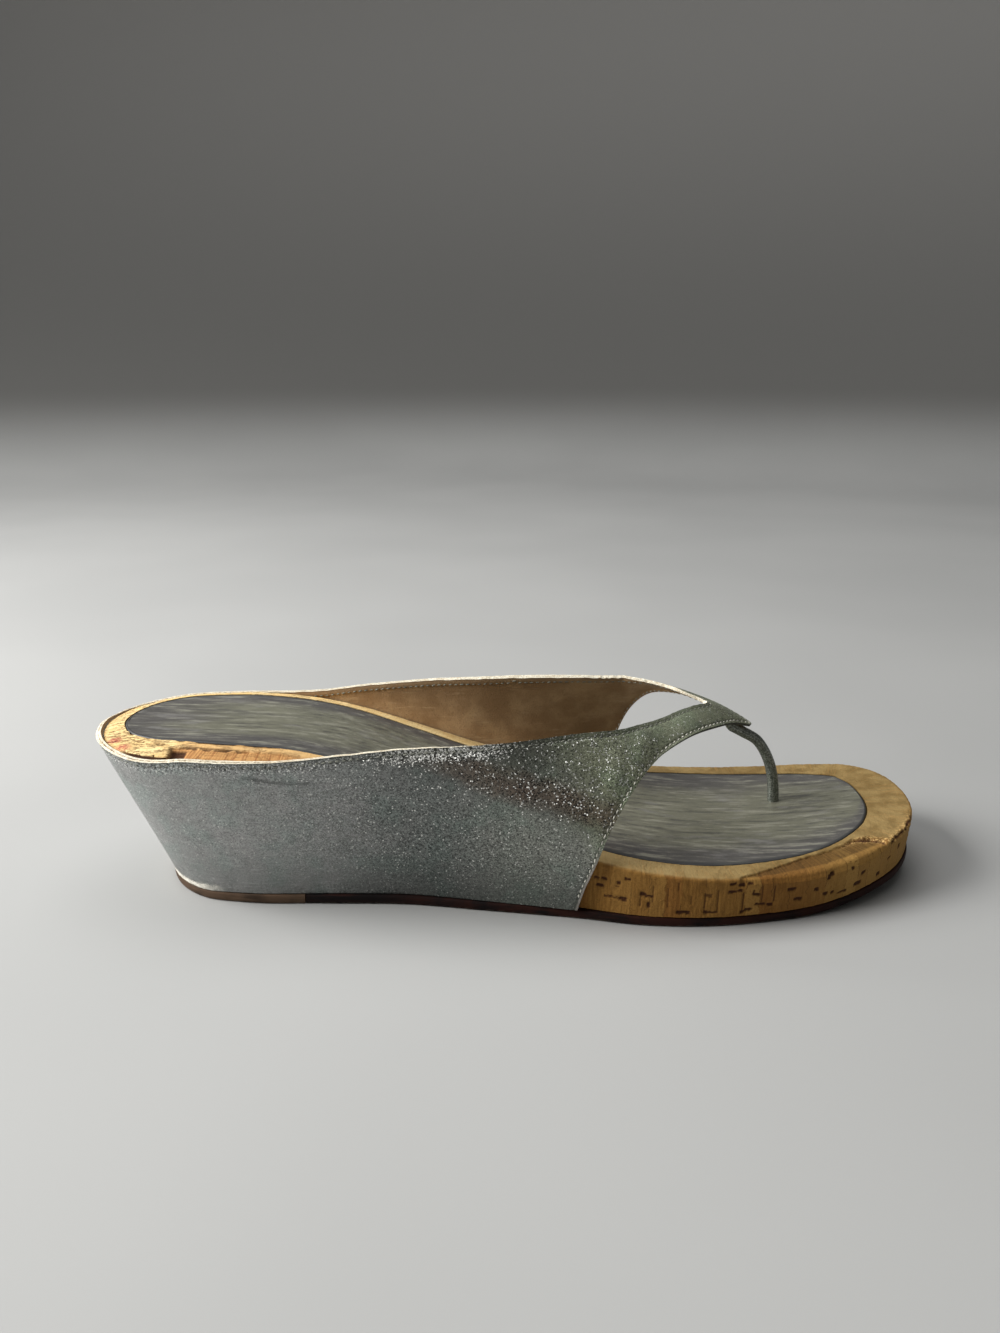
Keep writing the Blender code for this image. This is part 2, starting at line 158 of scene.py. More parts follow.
def lay_grid(points, uv=None, marks=None):
    """A grid of faces laid over points[row, column], with named values at its points."""
    rows, columns = points.shape[0] - 1, points.shape[1] - 1
    marks = marks or {}
    bm = bmesh.new()
    uv_layer = bm.loops.layers.uv.new("lie")
    for name in marks:
        bm.verts.layers.float.new(name)
    bmesh.ops.create_grid(bm, x_segments=columns, y_segments=rows, size=0.5, calc_uvs=True)
    places = {v: (round((v.co.y + 0.5) * rows), round((v.co.x + 0.5) * columns)) for v in bm.verts}
    if uv is not None:
        for face in bm.faces:
            for loop in face.loops:
                loop[uv_layer].uv = uv[places[loop.vert]]
    for name, values in marks.items():
        layer = bm.verts.layers.float[name]
        for vert, place in places.items():
            vert[layer] = values[place]
    for vert, place in places.items():
        vert.co = points[place]
    return bm


def weld(bm, dist=0.0005):
    """Close the seams of a laid grid and turn its faces outwards."""
    bmesh.ops.remove_doubles(bm, verts=bm.verts, dist=dist)
    bmesh.ops.dissolve_degenerate(bm, edges=bm.edges, dist=dist / 10)
    bmesh.ops.recalc_face_normals(bm, faces=bm.faces)


def make_piece(name, bm, *finishes, sharp=50):
    """An object of the shoe in the frame, from a mesh on the last."""
    bmesh.ops.transform(bm, matrix=TO_FRAME, verts=bm.verts)
    mesh = bpy.data.meshes.new(name)
    bm.to_mesh(mesh)
    bm.free()
    mesh.shade_smooth()
    mesh.set_sharp_from_angle(angle=np.radians(sharp))
    for finish in finishes:
        mesh.materials.append(finish)
    piece = bpy.data.objects.new(name, mesh)
    bpy.context.scene.collection.objects.link(piece)
    return piece


class Socket:
    """A socket of a finish, which may stand in sums and products."""

    def __init__(self, tree, link=None):
        self.tree, self.link = tree, link

    def add(self, kind, settings=None, inputs=None, output=0):
        """Any other node: its settings first, then the values or links of its sockets."""
        node = self.tree.nodes.new(kind)
        for name, value in (settings or {}).items():
            setattr(node, name, value)
        for name, value in (inputs or {}).items():
            socket = node.inputs[name]
            if isinstance(value, Socket):
                self.tree.links.new(value.link, socket)
            elif socket.type == "RGBA" and len(value) == 3:
                socket.default_value = (*value, 1.0)
            else:
                socket.default_value = value
        return Socket(self.tree, node.outputs[output] if node.outputs else None)

    def math(self, operation, first, second):
        return self.add("ShaderNodeMath", {"operation": operation}, {0: first, 1: second})

    def __add__(self, other):
        return self.math("ADD", self, other)

    def __sub__(self, other):
        return self.math("SUBTRACT", self, other)

    def __rsub__(self, other):
        return self.math("SUBTRACT", other, self)

    def __mul__(self, other):
        return self.math("MULTIPLY", self, other)

    __radd__, __rmul__ = __add__, __mul__

    def __truediv__(self, other):
        return self.math("DIVIDE", self, other)


def new_finish(name):
    """A material, and a socket to add its nodes with."""
    material = bpy.data.materials.new(name)
    material.use_nodes = True
    material.node_tree.nodes.clear()
    return material, Socket(material.node_tree)


def on_last(nodes):
    """Place on the shoe in millimetres, in the frame's directions."""
    coordinates = nodes.add("ShaderNodeTexCoord", output="Object")
    return nodes.add("ShaderNodeVectorMath", {"operation": "SCALE"}, {0: coordinates, "Scale": 1000.0})


def stretched(place, factors):
    return place.add("ShaderNodeVectorMath", {"operation": "MULTIPLY"}, {0: place, 1: factors})


def mottle(place, scale, detail=3.0, rough=0.55):
    """Soft noise from about 0.25 to 0.75."""
    inputs = {"Vector": place, "Scale": scale, "Detail": detail, "Roughness": rough}
    return place.add("ShaderNodeTexNoise", {}, inputs)


def ease(value, start, end):
    """0 before start, 1 after end and smooth between, in either direction."""
    low, high = sorted((start, end))
    inputs = {"Value": value, "From Min": low, "From Max": high}
    inputs |= {"To Min": float(start > end), "To Max": float(start < end)}
    return value.add("ShaderNodeMapRange", {"interpolation_type": "SMOOTHSTEP"}, inputs)


def mix(mask, first, second):
    """A colour that goes from first to second as mask goes from 0 to 1."""
    return mask.add("ShaderNodeMix", {"data_type": "RGBA"}, {0: mask, 6: first, 7: second}, 2)


def bumps(height, distance):
    """Surface relief of a height in millimetres."""
    inputs = {"Height": height, "Distance": distance / 1000, "Strength": 1.0}
    return height.add("ShaderNodeBump", {}, inputs)


def paint(nodes, inputs):
    """Close a finish with its surface shader."""
    shader = nodes.add("ShaderNodeBsdfPrincipled", {}, inputs)
    nodes.add("ShaderNodeOutputMaterial", {}, {"Surface": shader})


def part_of(place, axis):
    return place.add("ShaderNodeSeparateXYZ", {}, {0: place}, axis)


def sole_finish(name, dark, warm, warm_from, warm_to):
    """Stained leather with fibres along the edge, scuffed where it meets the floor."""
    material, nodes = new_finish(name)
    place = on_last(nodes)
    along = part_of(place, "X")
    height = part_of(place, "Z")
    fibres = mottle(stretched(place, (0.10, 0.10, 1.6)), 1.0, 4.0)
    patches = mottle(place, 0.09, 3.0)
    thin_stain = ease(along, warm_from, warm_to) * ease(patches, 0.35, 0.62)
    colour = mix(thin_stain, dark, warm)
    colour = mix(ease(fibres, 0.45, 0.75) * 0.45, colour, tuple(1.6 * c for c in warm))
    grit = mottle(place, 0.8, 4.0)
    tread_dirt = ease(height, 0.9, 0.1) * ease(grit, 0.42, 0.6)
    colour = mix(tread_dirt * 0.6, colour, (0.17, 0.14, 0.11))
    relief = bumps(fibres * 0.5 + grit * 0.5, 0.12)
    paint(nodes, {
        "Base Color": colour, "Roughness": 0.50 + 0.25 * grit, "Normal": relief,
        "Specular IOR Level": 0.12,
    })
    return material


def whole_sole():
    """The sole from heel to toe, before it is parted at the heel tap."""
    turns = np.linspace(0, ROUND, 361)
    proud = smooth(SOLE_PROUD[:, 0], SOLE_PROUD[:, 1], plan_at(turns, 0)[:, 0])
    waver = np.array([noise.noise((3 * np.sin(t * 0.21), 3 * np.cos(t * 0.21), 0.7)) for t in turns])

    def level(inset, height):
        ring = plan_at(turns, 0, proud - inset + 0.12 * waver)
        return np.column_stack([ring, tread_height(ring[:, 0]) + height])

    under, top = level(0.65, 0.0), level(0.25, SOLE_THICKNESS)
    rings = to_middle(under, (1.0, 0.75, 0.5, 0.25, 0.05))
    rings += [under, level(0.35, 0.10), level(0.12, 0.30), level(0.0, 0.60)]
    rings += [level(-0.08, 1.3), level(-0.04, 2.0), level(0.05, 2.6), top]
    rings += to_middle(top, (0.1, 0.5, 1.0))
    bm = lay_grid(np.array(rings))
    weld(bm)
    return bm


def part_across(bm, x, clear_front):
    """Cut a closed mesh straight across the shoe and close the cut."""
    everything = bm.verts[:] + bm.edges[:] + bm.faces[:]
    cut = bmesh.ops.bisect_plane(
        bm, geom=everything, dist=1e-5, plane_co=(x, 0, 0), plane_no=(1, 0, 0),
        clear_outer=clear_front, clear_inner=not clear_front,
    )["geom_cut"]
    bmesh.ops.edgeloop_fill(bm, edges=[e for e in cut if isinstance(e, bmesh.types.BMEdge)])
    bmesh.ops.recalc_face_normals(bm, faces=bm.faces)


tap_mesh = whole_sole()
part_across(tap_mesh, TAP_FRONT, True)
TAP_BROWN = (0.045, 0.029, 0.019), (0.105, 0.066, 0.042)
tap_leather = sole_finish("brown tap leather", *TAP_BROWN, -140.0, -70.0)
tap = make_piece("heel_tap_leather", tap_mesh, tap_leather)
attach(tap, "root")
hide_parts("heel_tap")

sole_mesh = whole_sole()
part_across(sole_mesh, TAP_FRONT + TAP_JOINT, False)
SOLE_BLACK = (0.007, 0.005, 0.005), (0.030, 0.009, 0.006)
sole_leather = sole_finish("black sole leather", *SOLE_BLACK, -45.0, -10.0)
sole = make_piece("outsole_leather", sole_mesh, sole_leather)
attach(sole, "root")
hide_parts("outsole")


# Cork wedge: pressed cork under a thin sheet of natural cork that is folded over the footbed edge.
# The sheet is bare round the front and beside the sock. It is pale and dry on top, has broken away
# on the outer side of the heel and is rubbed off and frayed along the toe.

WEDGE_EDGE_ROUND = 1.0
COVERED_EDGE_ROUND = 0.35
HEEL_SPREAD = 0.6
SOCK_DEPTH = 1.5
WALL_ROWS = 30
BAND_ROWS = 26
EDGE_ANGLES = np.radians((22.5, 45, 67.5, 90))
# Steps round the outer half of the cork, closest where the sheet is broken, bare or frayed.
CORK_SPANS = (
    (0.0, 1.6, 60), (1.6, 2.4, 60), (2.4, 4.6, 60),
    (4.6, 6.6, 24), (6.6, 13.2, 330), (13.2, 15.0, 90),
)
# Width of the bare band beside the sock, outside and inside: the sock sits to the inner side at the
# heel.
BAND = np.array((
    (-122.0, 4.8, 4.4),
    (-113.0, 8.0, 4.4),
    (-104.0, 10.4, 4.8),
    (-92.0, 11.0, 5.4),
    (-75.0, 10.2, 6.0),
    (-50.0, 8.8, 6.8),
    (-20.0, 7.6, 7.6),
    (70.0, 7.6, 7.6),
    (95.0, 9.0, 9.0),
    (126.0, 13.5, 13.5),
))
# How far the sheet of cork stands above the footbed edge, outside and inside.
SHEET_LIFT = np.array((
    (-122.0, 0.4, 0.4),
    (-112.0, 0.1, 0.2),
    (-99.0, 0.1, 0.2),
    (-92.0, 0.6, 0.2),
    (-75.0, 0.75, 0.2),
    (-45.0, 0.0, 0.0),
    (-30.0, 0.0, 0.0),
    (126.0, 0.0, 0.0),
))
SIDE_CHANGE = (-8.0, 8.0)
# Where the sheet is rubbed off along the outer edge of the toe: place along the shoe, share of the
# band that is gone and how much rounder the edge is worn.
RUBBED = np.array((
    (62.0, 0.0, 0.0),
    (82.0, 0.80, 1.5),
    (99.0, 0.76, 1.5),
    (104.4, 0.48, 1.2),
    (108.4, 0.10, 0.4),
    (111.0, 0.0, 0.0),
))
# The sheet of cork is gone between these places on the outer side of the heel.
BREAK_BACK, BREAK_FRONT, BREAK_DEPTH = -96.8, -52.0, 0.75
# Pores of the cork on the outer side: place along the shoe, share of the wall's height, length along
# the wall, length up the wall and depth, where 1 is full. The narrow upright ones are cracks.
PORES = (
    (23.1, 0.72, 1.2, 0.6, 0.9), (24.9, 0.73, 1.4, 0.8, 1.0), (28.9, 0.72, 0.8, 0.8, 0.7),
    (31.4, 0.83, 1.6, 0.8, 0.9), (24.1, 0.57, 2.0, 0.7, 1.0), (28.7, 0.62, 0.8, 0.6, 0.5),
    (27.1, 0.36, 4.4, 0.2, 0.8), (30.3, 0.35, 2.0, 1.2, 1.0), (34.9, 0.33, 0.1, 3.8, 0.5),
    (35.6, 0.53, 1.8, 1.3, 1.0), (37.2, 0.50, 2.6, 0.5, 0.9), (37.2, 0.27, 0.5, 2.2, 0.9),
    (38.5, 0.55, 0.1, 8.0, 0.4), (42.5, 0.50, 0.1, 9.0, 0.4), (45.3, 0.84, 0.1, 3.0, 0.5),
    (47.0, 0.14, 4.2, 0.9, 1.0), (49.1, 0.50, 0.1, 3.0, 0.4), (52.8, 0.45, 0.1, 7.0, 0.6),
    (53.1, 0.15, 0.8, 0.9, 1.0), (55.0, 0.14, 3.6, 0.4, 0.8), (53.5, 0.64, 2.2, 1.0, 0.5),
    (56.3, 0.50, 0.1, 9.0, 0.5), (60.4, 0.73, 2.2, 0.7, 1.0), (62.3, 0.76, 1.2, 0.5, 0.8),
    (60.2, 0.96, 2.0, 0.6, 0.8), (62.8, 0.93, 1.6, 0.7, 0.9), (65.4, 0.96, 1.4, 0.5, 0.8),
    (63.4, 0.44, 0.1, 6.6, 0.6), (63.6, 0.11, 0.8, 0.9, 1.0), (67.3, 0.63, 2.2, 0.7, 1.0),
    (66.3, 0.70, 0.2, 1.8, 0.8), (65.3, 0.18, 2.2, 0.5, 0.9), (68.6, 0.32, 3.2, 0.3, 0.9),
    (71.6, 0.28, 1.6, 0.9, 1.0), (69.0, 0.62, 0.1, 7.0, 0.5), (72.5, 0.62, 0.1, 7.0, 0.6),
    (77.5, 0.72, 2.6, 1.0, 1.0), (79.9, 0.36, 2.6, 0.9, 1.0), (85.1, 0.57, 1.4, 1.2, 1.0),
    (88.3, 0.34, 1.6, 0.8, 1.0), (90.7, 0.32, 1.0, 0.8, 0.9), (94.1, 0.21, 3.6, 0.3, 0.7),
    (88.9, 0.90, 1.0, 1.4, 0.8), (90.1, 0.98, 1.2, 1.2, 1.0), (96.6, 0.94, 1.2, 0.8, 0.7),
    (99.2, 0.29, 3.0, 1.1, 1.0), (100.6, 0.61, 1.6, 1.0, 0.7), (106.7, 0.21, 1.5, 1.2, 1.0),
    (110.4, 0.52, 1.3, 0.6, 0.7), (114.2, 0.69, 1.0, 1.4, 0.8),
)
# Those on the inner side lie at random between these places and sizes.
INNER_PORES = 46
INNER_PLACES = (24, 0.06), (120, 0.95)
INNER_SIZES = (0.8, 0.4), (3.4, 1.1)
INNER_CRACKS = 3, 8


def dense_turns(spans):
    """Turns round the outer half, with a number of steps for each span, and their mirror inside."""
    steps = [np.linspace(start, end, count, endpoint=False) for start, end, count in spans]
    outer = np.concatenate([*steps, [TOE_TURN]])
    return np.concatenate([outer, ROUND - outer[-2::-1]])


def crown(x):
    """Rise of the footbed from its edge to the sock."""
    return np.interp(x, (-60.0, 20.0), (1.4, 0.4))


def by_side(table, ring):
    """Value at each point of a ring from a table of place, outer side and inner side."""
    outer, inner = (smooth(table[:, 0], table[:, column], ring[:, 0]) for column in (1, 2))
    return outer + (inner - outer) * np.interp(ring[:, 1], SIDE_CHANGE, (0.0, 1.0))


def sock_rim(turns, clear, lower):
    """Ring at the rim of the sock, moved inwards by clear and down by lower."""
    ring = plan_at(turns, 1, -by_side(BAND, plan_at(turns, 1)) - clear)
    return np.column_stack([ring, bed_height(ring[:, 0]) + crown(ring[:, 0]) - lower])


def ragged(points, size, seed):
    """Noise from -1 to 1 at each of the points, of the given grain."""
    flat = points.reshape(-1, 3) / size + seed
    return np.array([noise.noise(p) for p in flat]).reshape(points.shape[:-1])


def step(values, start, end):
    share = np.clip((values - start) / (end - start), 0, 1)
    return share * share * (3 - 2 * share)


def cork_points():
    """Rings of the wedge from the middle of its underside up the wall, over the edge, across the
    band and down into the recess of the sock."""
    turns = dense_turns(CORK_SPANS)
    foot, edge = plan_at(turns, 0), plan_at(turns, 1)
    low = np.column_stack([foot, tread_height(foot[:, 0]) + SOLE_THICKNESS + GLUE_GAP])
    rounding = np.interp(edge[:, 0], (12.0, 24.0), (COVERED_EDGE_ROUND, WEDGE_EDGE_ROUND))
    rounding += np.where(edge[:, 1] < 0, np.interp(edge[:, 0], RUBBED[:, 0], RUBBED[:, 2]), 0)
    high = np.column_stack([edge, bed_height(edge[:, 0]) - np.maximum(rounding, WEDGE_EDGE_ROUND)])
    rings = to_middle(low, (1.0, 0.6, 0.2))
    wall_start = len(rings)
    rings += [low + (high - low) * share for share in np.linspace(0, 1, WALL_ROWS)]
    lift = by_side(SHEET_LIFT, edge)
    spread = np.interp(edge[:, 0], (-115.0, -75.0), (HEEL_SPREAD, 0.0))
    for angle in EDGE_ANGLES:
        ring = plan_at(turns, 1, spread - rounding * (1 - np.cos(angle)))
        rise = lift + rounding * (np.sin(angle) - 1)
        rings.append(np.column_stack([ring, bed_height(ring[:, 0]) + rise]))
    band_start = len(rings) - 1
    rim = sock_rim(turns, 0, 0)
    start = rings[-1]
    rings += [start + (rim - start) * share for share in np.linspace(0, 1, BAND_ROWS + 1)[1:]]
    band_end = len(rings) - 1
    deep = sock_rim(turns, 0, SOCK_DEPTH)
    rings += [(rim + deep) / 2, *to_middle(deep, (0.0, 0.3, 0.65, 1.0))]
    return np.array(rings), wall_start, band_start, band_end


def run_lengths(line):
    """Length along a line from its first point to each of its points."""
    return np.concatenate([[0.0], np.cumsum(np.linalg.norm(np.diff(line, axis=0), axis=1))])


def cork_lie(points, wall_start):
    """Millimetres along the wall and up over it, for the grain of the cork."""
    along = run_lengths(points[wall_start + WALL_ROWS // 2])
    up = np.concatenate([[0], np.cumsum(np.linalg.norm(np.diff(points, axis=0), axis=2).mean(axis=1))])
    lie = np.empty((*points.shape[:2], 2))
    lie[..., 0] = along[None, :]
    lie[..., 1] = (up - up[wall_start])[:, None]
    return lie


def hump(values, width):
    """1 at zero, falling softly to 0 on both sides of it."""
    return np.exp(-((values / width) ** 2))


def outward_normals(points):
    normal = np.cross(np.gradient(points, axis=1), np.gradient(points, axis=0))
    return normal / np.maximum(np.linalg.norm(normal, axis=2), 1e-9)[..., None]


def cork_pores(points, lie, wall_start, band_start):
    """How much of each point of the wall is pore."""
    pore = np.zeros(points.shape[:2])
    rows = np.arange(len(points))[:, None]
    x, y = points[..., 0], points[..., 1]
    up = (rows - wall_start) / (WALL_ROWS - 1)
    wall = (rows >= wall_start) & (rows <= band_start - len(EDGE_ANGLES))
    height = np.linalg.norm(points[wall_start + WALL_ROWS - 1] - points[wall_start], axis=1)[None, :]
    wobble = 0.25 * ragged(points, 0.9, 3.0)
    middle = np.interp(x, (0, 100, 124), (0, 6, 0))
    spots = [(0, *spot) for spot in PORES]
    inner = np.random.default_rng(11)
    for _ in range(INNER_PORES):
        place, share = inner.uniform(*INNER_PLACES)
        is_pore = inner.uniform() > 0.3
        size = inner.uniform(*INNER_SIZES) if is_pore else (0.1, inner.uniform(*INNER_CRACKS))
        spots.append((1, place, share, *size, inner.uniform(0.5, 1.0)))
    for inside, px, share, length, width, depth in spots:
        side = y > middle if inside else y < middle
        beside = np.where(side[wall_start], np.abs(x[wall_start + WALL_ROWS // 2] - px), 1e3)
        distance = lie[..., 0] - lie[wall_start, np.argmin(beside), 0]
        rise = (up - share) * height
        reach = np.maximum(np.abs(distance + 0.5 * wobble) - length * (0.42 + 0.5 * wobble), 0) / 0.24
        fall = np.maximum(np.abs(rise + 1.3 * wobble) - width * (0.38 + 0.5 * wobble), 0) / 0.24
        dark = min(1.0, 1.3 * depth) * np.exp(-(reach**2) - fall**2)
        pore = np.maximum(pore, np.where(wall & side, dark, 0))
    return pore


def cork_relief(points, pore, wall_start, band_start, band_end):
    """Move the cork by its pores, its broken sheet and its worn toe. Returns how much of each point
    is pore or crevice, is bared under the broken sheet, is frayed and is rubbed off."""
    rows = np.arange(len(points))[:, None]
    x, y = points[..., 0], points[..., 1]
    visible = (rows >= wall_start) & (rows <= band_end)
    across = np.clip((rows - band_start) / (band_end - band_start), 0, 1)
    jag = 1.6 * ragged(points, 2.6, 8.0) + 0.7 * ragged(points, 0.8, 5.0)

    outer_heel = (y < 0) & (rows >= band_start - 2) & (rows <= band_end)
    bared = step(x + jag, BREAK_BACK - 0.25, BREAK_BACK + 0.25) * step(x, BREAK_FRONT, BREAK_FRONT - 14)
    bared = np.where(outer_heel, bared, 0) * step(across + 0.03 * jag, 0.72, 0.67)
    hole = step(x + 0.5 * jag, -97.2, -96.4) * step(x + 0.5 * jag, -91.6, -93.2) * outer_heel
    hole *= step(across + 0.04 * jag, 0.66, 0.56)
    on_edge = (rows >= band_start - 6) & (across + 0.02 * jag < 0.10) & (y < 0)
    sheet_edge = on_edge * step(x, -112.0, -106.0) * step(x, -95.6, -96.8)
    sheet_crack = hump(across - 0.70 - 0.03 * jag, 0.03)
    sheet_crack = sheet_crack * step(x, -95.0, -92.0) * step(x, -72.0, -80.0)
    fine_crack = hump(across - 0.72 - 0.02 * jag, 0.025)
    fine_crack = fine_crack * step(x, -112.0, -109.0) * step(x, -95.0, -99.0)
    sock_gap = hump(across - 0.97, 0.03) * step(ragged(points, 5.0, 6.0), 0.0, 0.25)
    sock_gap = sock_gap * step(x, -60.0, -75.0)
    # The crevices, cracks, hole and gap beside the sock are also darkened in the finish as painted
    # shade.
    cracks = np.maximum.reduce([0.9 * sheet_crack, 0.7 * fine_crack, 0.9 * sock_gap])
    crevice = np.maximum.reduce([hole, sheet_edge, outer_heel * cracks])
    curl = hump(x - BREAK_BACK + 4.5, 4.0) * (1 - bared) * (1 - across)

    outer_toe = y < 4
    gone = np.where(outer_toe, np.interp(x, RUBBED[:, 0], RUBBED[:, 1]), 0)
    rubbed = (gone > 0.01) & (rows >= band_start - len(EDGE_ANGLES)) & (rows <= band_end)
    rubbed = rubbed * step(across - gone - 0.05 * jag, 0.03, -0.03)
    from_tear = rows - band_start - (band_end - band_start) * gone
    fray = step(x, 92.0, 102.0) * step(x, 123.5, 118.5) * outer_toe
    frayed = fray * hump(from_tear + 2, 3.2)
    chips = ragged(points, 1.6, 21.0) + 0.6 * ragged(points, 0.6, 13.0)
    edge_crack = fray * hump(from_tear + 2.6 + 3.0 * ragged(points, 3.0, 31.0), 1.4)
    edge_crack *= step(ragged(points, 1.8, 2.0), -0.5, -0.1)

    grainy = 0.10 * ragged(points, 1.1, 17.0) + 0.10 * ragged(points, 4.0, 1.0)
    rise = visible * grainy - 0.32 * pore - BREAK_DEPTH * bared - 1.0 * crevice
    rise -= frayed * (0.70 * chips - 0.15) + 0.6 * edge_crack + 0.45 * rubbed
    rise += np.where(outer_heel, 0.35 * curl, 0)
    points += outward_normals(points) * rise[..., None]
    return np.maximum.reduce([pore, crevice, edge_crack]), np.maximum(bared, hole), frayed, rubbed


def mark(nodes, name):
    """A value that a piece carries at the points of its mesh."""
    return nodes.add("ShaderNodeAttribute", {"attribute_name": name}, output="Fac")


def cork_finish():
    """Natural cork: upright strips of grain with dark slits on the wall, which is painted lighter
    towards the toe as light, a dry pale bed with fine cracks at the heel, golden and worn at the toe
    and darkened there with painted shade, and painted shade in the crevices and cracks."""
    material, nodes = new_finish("natural cork")
    place = on_last(nodes)
    lie = nodes.add("ShaderNodeUVMap", {"uv_map": "lie"})
    run = part_of(lie, "X")
    names = ("pore", "bared", "frayed", "rubbed", "top")
    pore, bared, frayed, rubbed, top = (mark(nodes, name) for name in names)
    along, across = part_of(place, "X"), part_of(place, "Y")
    streaks = mottle(stretched(lie, (1.5, 0.07, 0.0)), 1.0, 4.0, 0.6)
    grain = mottle(place, 1.7, 4.0, 0.6)
    patches = mottle(place, 0.16, 3.0)
    flecks = mottle(stretched(lie, (0.55, 1.9, 0.0)), 1.0, 3.0, 0.6)
    waver = mottle(stretched(lie, (0.10, 0.28, 0.0)), 1.0, 3.0)
    strip_run = {"W": run * 0.19 + waver * 0.45, "Scale": 1.0}
    strip = nodes.add("ShaderNodeTexVoronoi", {"voronoi_dimensions": "1D"}, strip_run, "Color")
    strip_tone = nodes.add("ShaderNodeSeparateColor", {"mode": "RGB"}, {0: strip}, 0)
    seam_settings = {"voronoi_dimensions": "1D", "feature": "DISTANCE_TO_EDGE"}
    strip_edge = nodes.add("ShaderNodeTexVoronoi", seam_settings, strip_run, "Distance")
    wall = mix(ease(streaks, 0.34, 0.68), (0.205, 0.094, 0.019), (0.320, 0.160, 0.036))
    wall = mix(ease(strip_tone, 0.35, 0.95) * 0.8, wall, (0.390, 0.214, 0.056))
    wall = mix(ease(strip_tone, 0.40, 0.05) * 0.6, wall, (0.250, 0.104, 0.023))
    # Painted light: the wall turns lighter and yellower towards the toe.
    wall = mix(ease(along, 70.0, 112.0) * 0.5, wall, (0.500, 0.300, 0.088))
    wall = mix(ease(grain, 0.54, 0.74) * 0.45, wall, (0.120, 0.050, 0.012))
    seams = ease(strip_edge, 0.030, 0.006) * ease(patches, 0.44, 0.56)
    wall = mix(seams * 0.65, wall, (0.060, 0.025, 0.008))
    wall = mix(ease(flecks, 0.63, 0.70) * 0.55, wall, (0.075, 0.032, 0.010))
    dry_bed = mix(ease(patches, 0.36, 0.66), (0.780, 0.545, 0.235), (0.900, 0.690, 0.345))
    # Towards the toe the bed darkens: partly worn cork, partly painted shade.
    worn_and_shaded_bed = mix(ease(patches, 0.36, 0.66), (0.195, 0.126, 0.043), (0.295, 0.204, 0.080))
    bed = mix(ease(along + patches * 30.0, -30.0, 90.0), dry_bed, worn_and_shaded_bed)
    bed = mix(ease(streaks, 0.50, 0.74) * 0.40, bed, (0.480, 0.250, 0.080))
    bed = mix(ease(grain, 0.57, 0.72) * 0.50, bed, (0.380, 0.190, 0.062))
    cracks = mottle(stretched(place, (0.16, 0.85, 0.85)), 1.0, 4.0, 0.65) - 0.5
    cracked = ease(cracks * cracks * 1000.0, 1.2, 0.1) * ease(patches, 0.38, 0.50)
    cracked = cracked * ease(along, -40.0, -75.0)
    bed = mix(cracked * 0.75, bed, (0.210, 0.090, 0.030))
    colour = mix(top, wall, bed)
    # Bare brown cork where the sheet is rubbed off, darkened further with painted shade.
    colour = mix(rubbed * (0.70 + 0.14 * ease(streaks, 0.58, 0.40)), colour, (0.070, 0.037, 0.010))
    colour = mix(rubbed * ease(flecks, 0.60, 0.68) * 0.5, colour, (0.045, 0.019, 0.006))
    stripped = ease(along, -97.0, -92.0) * ease(along, -40.0, -60.0) * ease(across, -8.0, -14.0) * top
    colour = mix(stripped * 0.6, colour, (0.640, 0.370, 0.150))
    under_sheet = mix(ease(streaks, 0.42, 0.66), (0.560, 0.300, 0.110), (0.330, 0.140, 0.046))
    colour = mix(bared, colour, under_sheet)
    colour = mix(frayed * ease(grain, 0.46, 0.58) * 0.85, colour, (0.660, 0.430, 0.170))
    colour = mix(frayed * ease(grain, 0.46, 0.36) * 0.85, colour, (0.230, 0.105, 0.030))
    # Dark brown pores, and painted shade in the crevices, cracks, hole and gap beside the sock that the
    # same mark carries.
    colour = mix(ease(pore, 0.15, 0.50) * 0.65, colour, (0.090, 0.034, 0.010))
    colour = mix(ease(pore, 0.50, 0.90) * 0.84, colour, (0.042, 0.012, 0.005))
    for stain_x, stain_y in ((-115.2, -15.6), (-111.6, -20.4)):
        off_x, off_y = along - stain_x, across - stain_y
        stain_reach = off_x * off_x * 0.10 + off_y * off_y * 0.16 + mottle(place, 0.7, 3.0) * 1.3
        stain = ease(stain_reach, 1.55, 0.75) * ease(grain, 0.30, 0.56) * top
        colour = mix(stain * 0.92, colour, (0.450, 0.095, 0.075))
    relief = bumps(grain * 0.6 + streaks * 0.4 - cracked * 0.5, 0.32)
    paint(nodes, {
        "Base Color": colour, "Roughness": 0.68 + 0.2 * grain, "Normal": relief,
        "Specular IOR Level": 0.18,
    })
    return material


cork_rings, wall_row, band_row, rim_row = cork_points()
cork_uv = cork_lie(cork_rings, wall_row)
cork_pore = cork_pores(cork_rings, cork_uv, wall_row, band_row)
cork_wear = cork_relief(cork_rings, cork_pore, wall_row, band_row, rim_row)
cork_pores_and_crevice_shade, cork_bared, cork_frayed, cork_rubbed = cork_wear
cork_rings[:, -1] = cork_rings[:, 0]
cork_row = np.arange(len(cork_rings))[:, None]
cork_marks = {
    "pore": cork_pores_and_crevice_shade,
    "bared": cork_bared,
    "frayed": cork_frayed,
    "rubbed": cork_rubbed * step(cork_row, band_row - 3, band_row + 3),
    "top": step(cork_row, band_row - 3, band_row + 0.5) * (1 - cork_rubbed),
}
cork_mesh = lay_grid(cork_rings, cork_uv, cork_marks)
weld(cork_mesh)
wedge = make_piece("wedge_cork", cork_mesh, cork_finish(), sharp=70)
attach(wedge, "root")
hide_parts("wedge")


# Sock: thin slate leather let into the footbed and glued down. It is burnished along the foot,
# olive and dull where the foot rubs it and darker and greyer towards its cut edge.

SOCK_THICKNESS = 1.2
SOCK_GAP = 0.3


